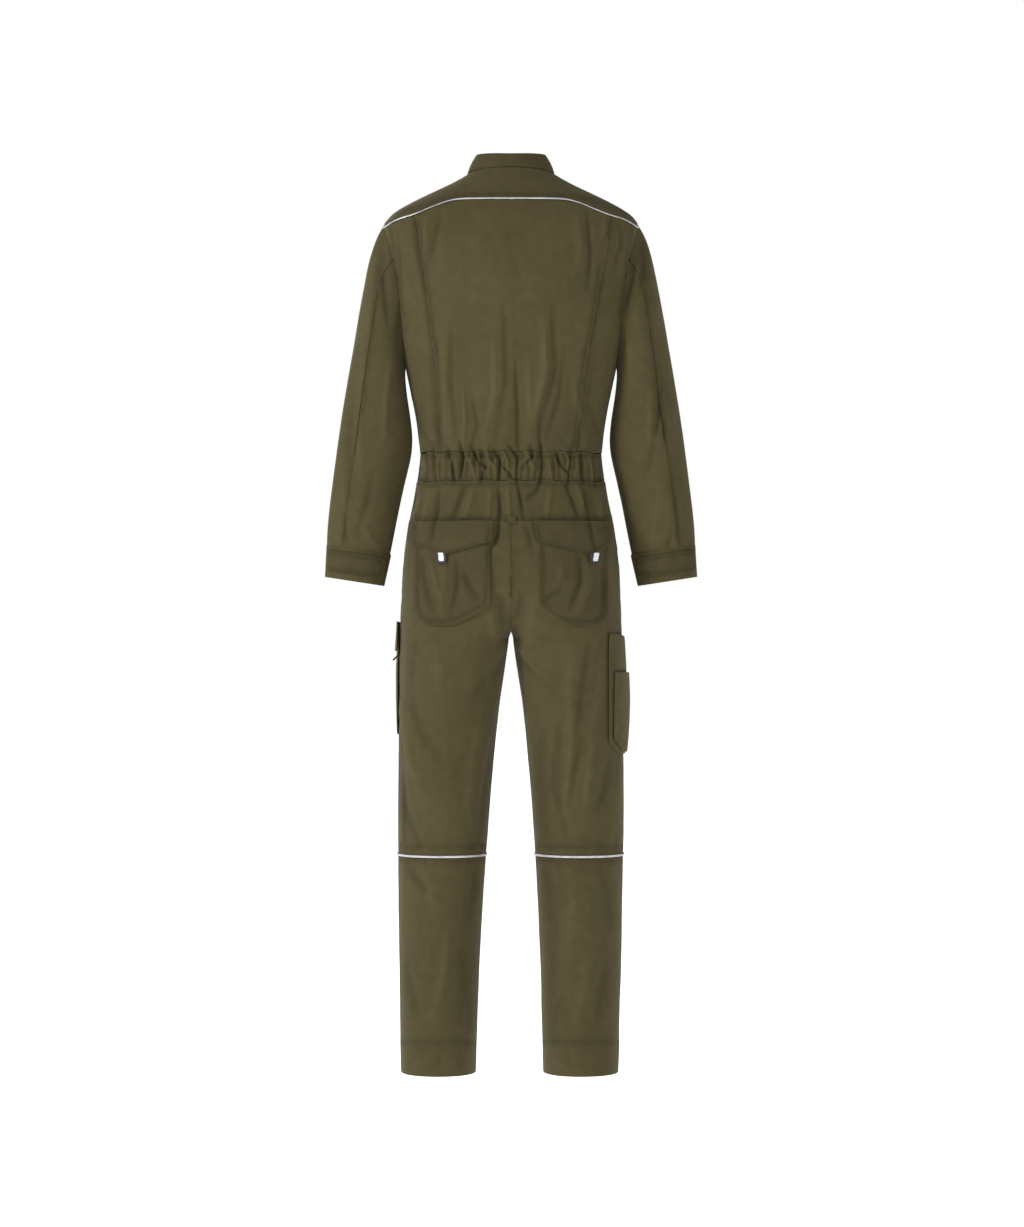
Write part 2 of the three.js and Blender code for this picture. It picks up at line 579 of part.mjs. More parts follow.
addWall('yoke', steps(YOKE_ROWS).map(yokeRow), (i, point) => vec(0, 0, point.z - 60), {
  ends: 0.85,
  seam: 0.6,
});

// Silver piping in the yoke seam.
const pipingPath = (side) => yokeColumns(side).slice(4);
const pipingHalf = 1.9;
const pipingRows = [1, 0, -1].map((across) => {
  const half = (side) => pipingPath(side).map((column) => {
    const lift = LAY_GAP + TRIM_WALL + 0.6 + (across === 0 ? 0.9 : 0);
    return formSkin(side, column.z + across * pipingHalf, column.place, lift);
  });
  return [...half(1), ...half(-1).reverse().slice(1)];
});
addWall('yoke_piping', pipingRows, bodyHub, {
  wall: TRIM_WALL,
  colour: SILVER,
  roughness: 0.35,
  seam: 0.6,
  ends: 0.05,
});

// Elasticated waist casing, gathered across the back and plain at the front.
const casingColumns = [];
for (const side of [1, -1]) {
  const list = steps(9).map((t) => (
    { side, place: mix(-0.975, 0, t), lean: 0, lift: 0.6 * Math.sin(7 * t * (2 + side)) }
  ));
  const puffs = GATHERS.filter((gather) => gather.x * side > 0);
  if (side < 0) puffs.reverse();
  const half = [];
  puffs.sort((a, b) => Math.abs(b.x) - Math.abs(a.x));
  puffs.forEach((gather, i) => {
    const next = puffs[i + 1];
    half.push({ x: gather.x, lean: gather.lean, lift: -GATHER_HEIGHT });
    if (next) {
      half.push({
        x: (gather.x + next.x) / 2,
        lean: (gather.lean + next.lean) / 2,
        lift: GATHER_HEIGHT * 0.8,
      });
    }
  });
  casingColumns.push({ side, list, half });
}
const CASING_ROWS = steps(4);
const casingPoint = (side, share, item) => {
  const z = mix(CASING_TOP, CASING_BOTTOM, share);
  const puff = Math.sin(Math.PI * (0.12 + 0.76 * share));
  if (item.x !== undefined) {
    const x = item.x + item.lean * (share - 0.5);
    const lift = item.lift * (0.35 + 0.65 * puff) + 1.2 * puff;
    return formSkin(side, z, placeAtX(side, z, 1, Math.abs(x)), lift);
  }
  return formSkin(side, z, item.place, item.lift * puff);
};
const casingRows = CASING_ROWS.map((share) => {
  const [left, right] = casingColumns;
  const row = left.list.map((item) => casingPoint(1, share, item));
  left.half.forEach((item) => row.push(casingPoint(1, share, item)));
  [...right.half].reverse().forEach((item) => row.push(casingPoint(-1, share, item)));
  [...right.list].reverse().forEach((item) => row.push(casingPoint(-1, share, item)));
  return row;
});
addWall('waist_casing', casingRows, bodyHub);

// Seat yoke below the casing, from side seam to side seam.
const SEAT_COLUMNS = 13;
const seatRows = steps(3).map((share) => {
  const z = mix(CASING_BOTTOM, SEAT_SEAM, share);
  const row = [];
  for (let k = -SEAT_COLUMNS; k <= SEAT_COLUMNS; k += 1) {
    const side = k >= 0 ? 1 : -1;
    row.push(formSkin(side, z, 1 - Math.abs(k) / SEAT_COLUMNS));
  }
  return row;
});
addWall('seat_yoke', seatRows, bodyHub);

// Small stitched bar at the centre of the seat seam.
const barRows = [-597, SEAT_SEAM, -612].map((z) => (
  [7, 0, -7].map((x) => skinAtX(x - 1, z, 1, LAY_GAP + TRIM_WALL))
));
addWall('centre_back_bar', barRows, bodyHub, { wall: TRIM_WALL, seam: 0.01 });

// Legs: back and front panels above and below the knee seam.
const BACK_LEG_LEVELS = [SEAT_SEAM, -635, -668, -702, -735, -765, -785, -796, -803, -807, -809.5, -826, -862,
  -917, -985, -1050, -1120, KNEE_SEAM];
const FRONT_LEG_LEVELS = [CASING_BOTTOM, -570, ...BACK_LEG_LEVELS];
const LOWER_LEG_LEVELS = [
  KNEE_SEAM, -1250, -1320, -1390, -1460, HEM + HEM_TURN_UP, HEM + HEM_TURN_UP - 4, HEM,
];
const legHub = (side) => (i, point) => vec(side * (point.z < -809 ? 115 : 0), 0, point.z);
const innerPlace = (side, z, face) => {
  if (z <= -809.5) return face;
  if (face < 0 && z > FLY_BOTTOM) return placeAtX(side, z, face, FRONT_EDGE_X);
  return face;
};
const legRows = (side, face, levels, columns) => levels.map((z) => steps(columns).map((t) => {
  const point = formSkin(side, z, mix(0, innerPlace(side, z, face), t));
  const clear = 0.4;
  if (point.x * side < clear) point.x = side * clear;
  return point;
}));
for (const side of [1, -1]) {
  const hub = legHub(side);
  const hemWall = (i) => (i >= LOWER_LEG_LEVELS.length - 2 ? CLOTH_WALL + 0.9 : CLOTH_WALL);
  addWall(`back_leg_${sideName(side)}`, legRows(side, 1, BACK_LEG_LEVELS, 12), hub);
  addWall(`front_leg_${sideName(side)}`, legRows(side, -1, FRONT_LEG_LEVELS, 8), hub);
  const lowerOptions = { wall: hemWall, seam: 0.5, ends: 0.35 };
  addWall(`back_lower_leg_${sideName(side)}`, legRows(side, 1, LOWER_LEG_LEVELS, 8), hub, lowerOptions);
  addWall(`front_lower_leg_${sideName(side)}`, legRows(side, -1, LOWER_LEG_LEVELS, 8), hub, lowerOptions);
  const ring = [1, 0, -1].map((across) => {
    const row = [];
    for (let k = 0; k < 24; k += 1) {
      const lift = LAY_GAP + TRIM_WALL + 0.4 + (across === 0 ? 0.8 : 0);
      row.push(formSkin(side, KNEE_SEAM + across * 2.4, k / 12 - 1, lift));
    }
    return row;
  });
  addWall(`knee_piping_${sideName(side)}`, ring, hub,
    { wall: TRIM_WALL, closed: true, colour: SILVER, roughness: 0.35, ends: 0.05 });
}

// Sleeves: an outer and an under panel each, meeting the armhole and the cuff.
const sleeveAngle = (z) => {
  const middle = (ARMHOLE_TOP + ARMHOLE_BOTTOM) / 2;
  const reach = (ARMHOLE_TOP - ARMHOLE_BOTTOM) / 2;
  return Math.acos(Math.min(1, Math.max(-1, (z - middle) / reach)));
};
const SLEEVE_LEVELS = [ARMHOLE_TOP, -86, ...ARMHOLE_LEVELS];
const sleeveRing = (side, ring, face, angle, lift = 0) => {
  const centreX = (ring.outX + ring.inX) / 2;
  const centreZ = (ring.outZ + ring.inZ) / 2;
  const armX = (ring.outX - ring.inX) / 2;
  const armZ = (ring.outZ - ring.inZ) / 2;
  const long = Math.hypot(armX, armZ);
  const c = Math.cos(angle);
  const s = Math.sin(angle);
  const point = vec(side * (centreX + armX * c), face * ring.deep * s, centreZ + armZ * c);
  const fold = Math.min(1, s * 2) * foldHeight(SLEEVE_FOLDS, face, point.x, point.z);
  const out = vec(side * armX / long * c / long, face * s / ring.deep, armZ / long * c / long).normalize();
  return point.addScaledVector(out, fold + lift);
};
const sleeveColumn = (side, face, z, rings) => {
  const angle = sleeveAngle(z);
  const start = formSkin(side, z, z < ARMHOLE_TOP && z > ARMHOLE_BOTTOM ? armholePlace(side, z, face) : 0);
  return [start, ...rings.map((ring) => sleeveRing(side, ring, face, angle))];
};
const OUTER_SEAM_INDEX = 4;
const INNER_SEAM_INDEX = 6;
for (const side of [1, -1]) {
  const hub = (i, point) => {
    const ring = i === 0 ? { outX: 223, outZ: -82, inX: 185, inZ: -335 } : SLEEVE_RINGS[i - 1];
    const inward = i === 0 ? 30 : 0;
    return vec(side * ((ring.outX + ring.inX) / 2 - inward), 0, (ring.outZ + ring.inZ) / 2);
  };
  const back = SLEEVE_LEVELS.map((z) => sleeveColumn(side, 1, z, SLEEVE_RINGS));
  const front = SLEEVE_LEVELS.map((z) => sleeveColumn(side, -1, z, SLEEVE_RINGS));
  const turn = (columns) => columns[0].map((unused, i) => columns.map((column) => column[i]));
  const under = [...back.slice(OUTER_SEAM_INDEX), ...front.slice(INNER_SEAM_INDEX, -1).reverse()];
  const outer = [...back.slice(0, OUTER_SEAM_INDEX + 1).reverse(), ...front.slice(1, INNER_SEAM_INDEX + 1)];
  addWall(`sleeve_under_${sideName(side)}`, turn(under), hub, { seam: 0.75, ends: 0.5 });
  addWall(`sleeve_outer_${sideName(side)}`, turn(outer), hub, { seam: 0.75, ends: 0.5 });
}

// Cuffs with their adjusting tabs.
const cuffRing = (share) => {
  const top = SLEEVE_RINGS[SLEEVE_RINGS.length - 1];
  const ring = {};
  for (const key of Object.keys(CUFF_END)) ring[key] = mix(top[key], CUFF_END[key], share);
  return ring;
};
const CUFF_COLUMNS = 20;
for (const side of [1, -1]) {
  const rows = steps(3).map((share) => {
    const ring = cuffRing(share);
    const row = [];
    for (let k = 0; k < CUFF_COLUMNS; k += 1) {
      const turn = 2 * Math.PI * k / CUFF_COLUMNS;
      const face = turn <= Math.PI ? 1 : -1;
      row.push(sleeveRing(side, ring, face, face > 0 ? turn : 2 * Math.PI - turn, 1.1));
    }
    return row;
  });
  const hub = (i, point) => vec(side * 268, 0, point.z);
  addWall(`cuff_${sideName(side)}`, rows, hub, { wall: CLOTH_WALL + 0.6, closed: true, ends: 0.3 });
  const tab = steps(3).map((across) => steps(9).map((t) => {
    const rounding = Math.sqrt(Math.max(0, 1 - clamp01((t - 0.78) / 0.23) ** 2));
    const share = 0.42 + (across - 0.5) * 0.66 * rounding;
    return sleeveRing(side, cuffRing(share), 1, mix(0.5, 2.75, t), 1.1 + LAY_GAP + CLOTH_WALL);
  }));
  addWall(`cuff_tab_${sideName(side)}`, tab, hub, { seam: 0.01 });
}

// Collar: a stand on the neck line and a fall turned down over it.
const COLLAR_TOP = [
  { place: 1, level: 34 },
  { place: 0.4, level: 35.5 },
  { place: 0, level: 34 },
  { place: -0.4, level: 14 },
  { place: -0.75, level: -12 },
  { place: -1, level: -24 },
];
const COLLAR_PLACES = [-0.94, -0.89, -0.82, -0.72, -0.58, -0.4, -0.2, 0, 0.2, 0.4, 0.6, 0.8, 1];
const collarTop = (side, place, out) => {
  const angle = Math.abs(place) * Math.PI / 2;
  const [x, y] = ringPoint(60 + out, (place >= 0 ? 46 : 70) + out, 2.2, angle);
  return vec(side * x, place >= 0 ? y : -y, between(COLLAR_TOP, 'place', 'level', place));
};
const aroundNeck = (ends, make) => {
  const row = [];
  const places = [-ends, ...COLLAR_PLACES.filter((place) => place > -ends + 0.02)];
  places.forEach((place) => row.push(make(1, place)));
  places.reverse().slice(1).forEach((place) => row.push(make(-1, place)));
  return row;
};
const standRows = steps(2).map((share) => aroundNeck(0.975, (side, place) => {
  const foot = formSkin(side, neckLevel(place), place);
  return foot.lerp(collarTop(side, place, 0), share * 0.93);
}));
const collarHub = (i, point) => vec(0, -8, point.z);
addWall('collar_stand', standRows, collarHub, { ends: 1.1 });
const FALL_EDGE = [
  { place: 1, level: 8.5, lift: 4 },
  { place: 0.5, level: 6, lift: 3.6 },
  { place: 0, level: 1.5, lift: 3.4 },
  { place: -0.34, level: -6, lift: 3.4 },
  { place: -0.66, level: -22, lift: 3.6 },
  { place: -0.85, level: -52, lift: 3.8 },
  { place: -0.93, level: -80, lift: 4 },
];
const fallRows = steps(4).map((share) => aroundNeck(0.93, (side, place) => {
  const level = between(FALL_EDGE, 'place', 'level', place);
  const edge = formSkin(side, level, place, between(FALL_EDGE, 'place', 'lift', place));
  const top = collarTop(side, place, 2.4);
  const point = top.lerp(edge, share);
  const swell = mix(2.2, 9, clamp01(-1.3 * place)) * Math.sin(Math.PI * share);
  return point.add(vec(point.x, point.y, 0).setLength(swell));
}));
addWall('collar_fall', fallRows, collarHub, { seam: 0.05 });

// Fly over the closed front edges, and the closed zip strip behind them.
const FLY_LEVELS = [-70, -115, -160, -210, -260, -310, -360, -410, -450, CASING_TOP, -511, CASING_BOTTOM, -580, -625,
  -670, -710, FLY_BOTTOM];
const flyRows = FLY_LEVELS.map((z, i) => [1, 0.5, 0, -0.5, -1].map((across) => {
  const drop = i === FLY_LEVELS.length - 1 ? -9 * (1 - across * across) : 0;
  return skinAtX(across * FLY_HALF_WIDTH + 0.001, z + drop, -1, LAY_GAP + CLOTH_WALL + 0.5);
}));
addWall('front_fly', flyRows, bodyHub, { seam: 0.01 });
const zipRows = FLY_LEVELS.map((z) => [1, 0, -1].map((across) => skinAtX(across * 15 + 0.001, z, -1,
  -CLOTH_WALL - LAY_GAP - 0.6)));
addWall('front_zip_strip', zipRows, bodyHub, { wall: TRIM_WALL, seam: 0.01, colour: BLACK });

// Back patch pockets with pointed flaps and a small tab at each point.
const POCKET_SIZES = {
  left: {
    outer: 166, inner: 36, flapOuterTop: 171, flapOuter: 172, flapInner: 32.5, flapInnerTop: 30.5, point: 116.5,
  },
  right: {
    outer: 166, inner: 52, flapOuterTop: 169, flapOuter: 170, flapInner: 44.5, flapInnerTop: 37.5, point: 139,
  },
};
const POCKET_TOP = SEAT_SEAM - 6;
const FLAP_TOP = SEAT_SEAM - 1;
const FLAP_CORNER = -643;
const FLAP_POINT = -667;
const POCKET_FOOT = [
  { share: 0, level: -766 },
  { share: 0.1, level: -781 },
  { share: 0.4, level: -787 },
  { share: 0.6, level: -781 },
  { share: 0.8, level: -767 },
  { share: 0.93, level: -757 },
  { share: 1, level: -749 },
];
for (const side of [1, -1]) {
  const size = POCKET_SIZES[sideName(side)];
  const pocket = steps(7).map((down) => steps(10).map((share) => {
    const z = mix(POCKET_TOP, between(POCKET_FOOT, 'share', 'level', share), down);
    const puff = 1.6 * Math.sin(Math.PI * share) * Math.sin(Math.PI * Math.min(1, down * 1.1));
    const lift = LAY_GAP + CLOTH_WALL + 0.4 + Math.max(0, puff);
    return laidAtX(side * mix(size.outer, size.inner, share), z, 1, lift);
  }));
  addWall(`back_pocket_${sideName(side)}`, pocket, bodyHub, { seam: 0.01 });
  const pointShare = (size.flapOuter - size.point) / (size.flapOuter - size.flapInner);
  const flapShares = [0, 0.2, 0.45, 0.7, 1].map((t) => t * pointShare)
    .concat([0.25, 0.5, 0.75, 1].map((t) => mix(pointShare, 1, t)));
  const flap = steps(4).map((down) => flapShares.map((share) => {
    const away = share < pointShare ? 1 - share / pointShare : (share - pointShare) / (1 - pointShare);
    const foot = mix(FLAP_POINT, FLAP_CORNER, away);
    const top = mix(size.flapOuterTop, size.flapInnerTop, share);
    const low = mix(size.flapOuter, size.flapInner, share);
    const rise = 4.6 + 2.6 * Math.sin(Math.PI * down * 0.75);
    return laidAtX(side * mix(top, low, down), mix(FLAP_TOP, foot, down), 1, rise + 0.4);
  }));
  addWall(`flap_${sideName(side)}`, flap, bodyHub, { seam: 0.01 });
  const tab = [-662, -671, -680].map((z) => [8.5, 0, -8.5].map((across) => (
    laidAtX(side * (size.point + across), z, 1, 8.7))));
  addWall(`flap_tab_${sideName(side)}`, tab, bodyHub, { seam: 0.01, colour: BLACK, wall: TRIM_WALL });
}

// Thigh pockets at the sides of the legs: a base bag and, on the right, a shorter outer bag on it.
const thighPatch = (side, frame, lift) => steps(frame.rows).map((down) => steps(frame.columns).map((share) => {
  const rounded = frame.round * (1 - Math.sqrt(Math.max(0, 1 - Math.abs(2 * share - 1) ** 4)));
  const z = mix(frame.top - frame.slope * share, frame.bottom + rounded, down);
  const place = mix(frame.back, frame.front, share);
  return laidSkin(side, z, place, lift(place, z));
}));
const swellOf = (frame, height) => (place, z) => {
  const share = clamp01((place - frame.back) / (frame.front - frame.back));
  const down = clamp01((frame.top - z) / (frame.top - frame.bottom));
  return height * Math.sin(Math.PI * share) ** 0.7 * Math.sin(Math.PI * (0.12 + down * 0.84)) ** 0.7;
};
const thighHub = (side) => (i, point) => vec(side * 110, 0, point.z);
const RIGHT_BASE = {
  rows: 7, columns: 8, top: -800, bottom: -1010, slope: 14, round: 22, back: 0.28, front: -0.3,
};
const RIGHT_OUTER = {
  rows: 6, columns: 8, top: -866, bottom: -1007, slope: 6, round: 26, back: 0.25, front: -0.27,
};
const LEFT_BASE = {
  rows: 7, columns: 8, top: -782, bottom: -978, slope: 4, round: 14, back: 0.07, front: -0.46,
};
const LEFT_FLAP = {
  rows: 3, columns: 8, top: -779, bottom: -832, slope: 4, round: 8, back: 0.085, front: -0.475,
};
const BAG_LIFT = LAY_GAP + CLOTH_WALL + 0.1;
const OVER_BAG = CLOTH_WALL + LAY_GAP;
const swellRight = swellOf(RIGHT_BASE, 4.5);
const swellRightOuter = swellOf(RIGHT_OUTER, 3.2);
const swellLeft = swellOf(LEFT_BASE, 5);
const bagOptions = { seam: 0.01 };
const bags = [
  ['thigh_pocket_right', -1, RIGHT_BASE, (p, z) => swellRight(p, z)],
  ['thigh_pocket_right_outer', -1, RIGHT_OUTER, (p, z) => swellRight(p, z) + OVER_BAG + swellRightOuter(p, z)],
  ['thigh_pocket_left', 1, LEFT_BASE, (p, z) => swellLeft(p, z)],
  ['thigh_pocket_left_flap', 1, LEFT_FLAP, (p, z) => swellLeft(p, z) + OVER_BAG + 0.5],
];
for (const [name, side, frame, swell] of bags) {
  addWall(name, thighPatch(side, frame, (p, z) => BAG_LIFT + swell(p, z)), thighHub(side), bagOptions);
}

// Short cord tail at the back edge of the left thigh pocket.
const cordMiddle = (down) => vec(mix(195.5, 205, down), mix(28, 32, down), mix(-837, -847, down));
const cordRows = steps(2).map((down) => [0, 1, 2, 3, 4, 5].map((k) => {
  const angle = k * Math.PI / 3;
  return cordMiddle(down).add(vec(1.6 * Math.cos(angle) * 0.7, 1.6 * Math.sin(angle), 1.6 * Math.cos(angle) * 0.7));
}));
addWall('thigh_cord_tail', cordRows, (i) => cordMiddle(i / 2),
  { wall: 0.9, closed: true, ends: 0.01 });

export default group;
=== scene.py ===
import math

import bmesh
import bpy
import numpy as np
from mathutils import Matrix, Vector, noise
from mathutils.bvhtree import BVHTree


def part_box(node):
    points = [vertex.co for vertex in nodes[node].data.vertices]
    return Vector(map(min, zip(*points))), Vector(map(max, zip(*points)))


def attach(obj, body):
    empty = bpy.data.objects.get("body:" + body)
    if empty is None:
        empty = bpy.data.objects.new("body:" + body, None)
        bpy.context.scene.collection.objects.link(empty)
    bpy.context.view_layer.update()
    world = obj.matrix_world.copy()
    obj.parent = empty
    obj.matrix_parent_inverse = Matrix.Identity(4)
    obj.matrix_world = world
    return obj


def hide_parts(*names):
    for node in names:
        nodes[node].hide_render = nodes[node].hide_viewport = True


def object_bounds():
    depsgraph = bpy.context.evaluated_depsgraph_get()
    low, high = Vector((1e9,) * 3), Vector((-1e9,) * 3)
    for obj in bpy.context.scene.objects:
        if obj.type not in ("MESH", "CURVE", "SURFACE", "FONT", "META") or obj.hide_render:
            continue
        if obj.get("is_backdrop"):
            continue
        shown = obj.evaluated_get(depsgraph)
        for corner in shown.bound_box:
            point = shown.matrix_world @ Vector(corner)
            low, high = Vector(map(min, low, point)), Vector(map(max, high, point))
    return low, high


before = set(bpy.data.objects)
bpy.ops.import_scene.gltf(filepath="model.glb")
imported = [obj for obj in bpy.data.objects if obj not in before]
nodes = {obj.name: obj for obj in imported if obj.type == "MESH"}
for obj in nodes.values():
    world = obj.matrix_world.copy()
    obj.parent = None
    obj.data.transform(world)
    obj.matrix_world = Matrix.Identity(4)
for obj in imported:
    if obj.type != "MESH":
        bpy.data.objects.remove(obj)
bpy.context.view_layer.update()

# Camera: straight behind the suit at mid height. One photograph pixel is 1.75 mm at the suit's
# middle plane, and the wearer's left is on the image's left.
MM = 0.001
CAMERA_SPOT = Vector((-0.00175, 6.5, -0.7656))
PICTURE_HEIGHT = 1227 * 1.75 * MM
camera_data = bpy.data.cameras.new("studio_camera")
camera_data.sensor_width = 36
camera_data.lens = 36 * CAMERA_SPOT.y / PICTURE_HEIGHT
camera_data.clip_end = 60
camera = bpy.data.objects.new("studio_camera", camera_data)
camera.location = CAMERA_SPOT
camera.rotation_euler = (math.radians(90), 0, math.radians(180))
bpy.context.scene.collection.objects.link(camera)
bpy.context.scene.camera = camera


# Back panels: olive cotton and polyester twill, cut as one centre piece and two side pieces, joined
# by shaped seams with two rows of tonal topstitching and hung in soft folds from the yoke.
def link(tree, source, target):
    tree.links.new(source, target)


def combine(tree, operation, first, second):
    node = tree.nodes.new("ShaderNodeMath")
    node.operation = operation
    for index, value in enumerate((first, second)):
        if isinstance(value, (int, float)):
            node.inputs[index].default_value = value
        else:
            link(tree, value, node.inputs[index])
    return node.outputs[0]


def cloud(tree, vector, scale, detail=3.0, roughness=0.5):
    texture = tree.nodes.new("ShaderNodeTexNoise")
    texture.inputs["Scale"].default_value = scale
    texture.inputs["Detail"].default_value = detail
    texture.inputs["Roughness"].default_value = roughness
    link(tree, vector, texture.inputs["Vector"])
    return texture.outputs["Fac"]


def weave_group():
    """Twill cloth: steep diagonal ribs over a fine warp, slubs, and slow unevenness of the dye."""
    tree = bpy.data.node_groups.new("twill_weave", "ShaderNodeTree")
    tree.interface.new_socket("Vector", in_out="INPUT", socket_type="NodeSocketVector")
    for name in ("Height", "Shade", "Mottle"):
        tree.interface.new_socket(name, in_out="OUTPUT", socket_type="NodeSocketFloat")
    start = tree.nodes.new("NodeGroupInput")
    end = tree.nodes.new("NodeGroupOutput")
    vector = start.outputs["Vector"]
    split = tree.nodes.new("ShaderNodeSeparateXYZ")
    link(tree, vector, split.inputs[0])
    across = combine(tree, "ADD", split.outputs["X"], split.outputs["Y"])
    diagonal = combine(tree, "ADD", combine(tree, "MULTIPLY", across, 0.8),
                       combine(tree, "MULTIPLY", split.outputs["Z"], 0.6))
    rib = combine(tree, "SINE", combine(tree, "MULTIPLY", diagonal, 2 * math.pi / 0.0011), 0)
    warp = combine(tree, "SINE", combine(tree, "MULTIPLY", across, 2 * math.pi / 0.0007), 0)
    slub = cloud(tree, vector, 900)
    height = combine(tree, "ADD", combine(tree, "MULTIPLY", rib, 0.35),
                     combine(tree, "MULTIPLY", warp, 0.15))
    height = combine(tree, "ADD", height, combine(tree, "MULTIPLY", slub, 0.8))
    link(tree, height, end.inputs["Height"])
    shade = combine(tree, "ADD", combine(tree, "MULTIPLY", rib, 0.05), combine(tree, "MULTIPLY", slub, 0.34))
    link(tree, combine(tree, "ADD", shade, 0.83), end.inputs["Shade"])
    mottle = combine(tree, "ADD", combine(tree, "MULTIPLY", cloud(tree, vector, 6, 5, 0.62), 0.55),
                     combine(tree, "MULTIPLY", cloud(tree, vector, 60, 4), 0.45))
    link(tree, mottle, end.inputs["Mottle"])
    return tree


twill_weave = weave_group()


def twill_finish(name, dark, light):
    """Matte olive twill, with painted highlight on fold ridges, painted shade in fold troughs and painted
    shade along its seams, which are also puckered.
    """
    material = bpy.data.materials.new(name)
    material.use_nodes = True
    tree = material.node_tree
    shader = tree.nodes["Principled BSDF"]
    place = tree.nodes.new("ShaderNodeTexCoord").outputs["Object"]
    weave = tree.nodes.new("ShaderNodeGroup")
    weave.node_tree = twill_weave
    link(tree, place, weave.inputs["Vector"])
    dye = tree.nodes.new("ShaderNodeValToRGB")
    for element, position, colour in zip(dye.color_ramp.elements, (0.3, 0.7), (dark, light)):
        element.position = position
        element.color = (*colour, 1)
    link(tree, weave.outputs["Mottle"], dye.inputs["Fac"])
    masks = {}
    for mask in ("painted_fold_shading", "seam"):
        attribute = tree.nodes.new("ShaderNodeAttribute")
        attribute.attribute_name = mask
        masks[mask] = attribute.outputs["Fac"]
    # Painted highlight on fold ridges and painted shade in fold troughs.
    painted_shading = combine(tree, "ADD", combine(tree, "MULTIPLY", masks["painted_fold_shading"], 0.36), 0.84)
    # Painted shade along the seams.
    painted_shading = combine(tree, "SUBTRACT", painted_shading, combine(tree, "MULTIPLY", masks["seam"], 0.25))
    tint = tree.nodes.new("ShaderNodeVectorMath")
    tint.operation = "SCALE"
    link(tree, dye.outputs["Color"], tint.inputs[0])
    link(tree, combine(tree, "MULTIPLY", weave.outputs["Shade"], painted_shading), tint.inputs["Scale"])
    link(tree, tint.outputs["Vector"], shader.inputs["Base Color"])
    bump = tree.nodes.new("ShaderNodeBump")
    bump.inputs["Strength"].default_value = 0.35
    bump.inputs["Distance"].default_value = 0.0004
    link(tree, weave.outputs["Height"], bump.inputs["Height"])
    pucker = tree.nodes.new("ShaderNodeBump")
    pucker.inputs["Distance"].default_value = 0.002
    link(tree, combine(tree, "MULTIPLY", masks["seam"], 0.6), pucker.inputs["Strength"])
    link(tree, cloud(tree, place, 110, 2), pucker.inputs["Height"])
    link(tree, bump.outputs["Normal"], pucker.inputs["Normal"])
    link(tree, pucker.outputs["Normal"], shader.inputs["Normal"])
    shader.inputs["Roughness"].default_value = 0.88
    shader.inputs["Specular IOR Level"].default_value = 0.2
    shader.inputs["Sheen Weight"].default_value = 0.12
    shader.inputs["Sheen Roughness"].default_value = 0.5
    shader.inputs["Sheen Tint"].default_value = (0.6, 0.54, 0.36, 1)
    return material


twill = twill_finish("olive_twill", (0.0465, 0.0372, 0.0136), (0.0665, 0.0545, 0.0215))
# A darker copy of the same twill for the fly, collar, seat bar, cuff tabs, back pockets, flaps and cord tail:
# painted shade on these layered parts.
twill_painted_shade = twill_finish("olive_twill_painted_shade", (0.0400, 0.0315, 0.0116), (0.0575, 0.0465, 0.0188))

# Creases and gathers, each a soft ridge (+) or trough (-) in mm through three points. Back ones are
# given as the camera sees them on the suit's middle plane.
BACK_CREASES = [
    # x1, z1, x2, z2, x3, z3, height, width
    (-135, -54, -140, -130, -135, -203, -3.0, 6), (-163, -52, -166, -112, -156, -191, 1.8, 7),
    (-186, -74, -194, -112, -178, -161, -2.4, 5), (-112, -51, -121, -112, -117, -173, 1.2, 8),
    (168, -80, 164, -130, 147, -217, -2.2, 5), (121, -58, 130, -98, 142, -150, -2.2, 6),
    (145, -63, 149, -108, 152, -150, 1.6, 6), (200, -84, 196, -133, 191, -191, -1.8, 5),
    (103, -248, 105, -366, 93, -476, -2.6, 7), (117, -270, 119, -378, 114, -472, 1.8, 7),
    (84, -357, 79, -427, 86, -483, 2.0, 5), (68, -383, 58, -436, 72, -483, -2.2, 5),
    (12, -217, 7, -357, 32, -488, -2.8, 8), (30, -270, 28, -378, 51, -476, 2.0, 7),
    (-9, -322, -12, -410, -14, -514, -2.6, 5), (-30, -304, -33, -401, -30, -480, 1.6, 7),
    (-74, -210, -79, -326, -46, -462, -2.8, 8), (-56, -234, -60, -343, -32, -455, 2.0, 7),
    (-96, -287, -86, -383, -60, -472, -1.8, 6), (-52, -410, -52, -471, -52, -536, -2.4, 5),
    (-126, -343, -150, -436, -163, -480, -2.4, 6), (-108, -357, -124, -427, -130, -483, 1.8, 6),
    (170, -392, 158, -441, 138, -480, -2.4, 6), (184, -357, 173, -418, 161, -474, 1.6, 6),
    (142, -296, 136, -383, 124, -476, -2.0, 6), (-147, -287, -138, -374, -121, -472, -1.8, 6),
    (2, -63, -9, -150, -16, -217, -0.8, 16), (58, -86, 54, -164, 61, -234, 0.8, 16),
]
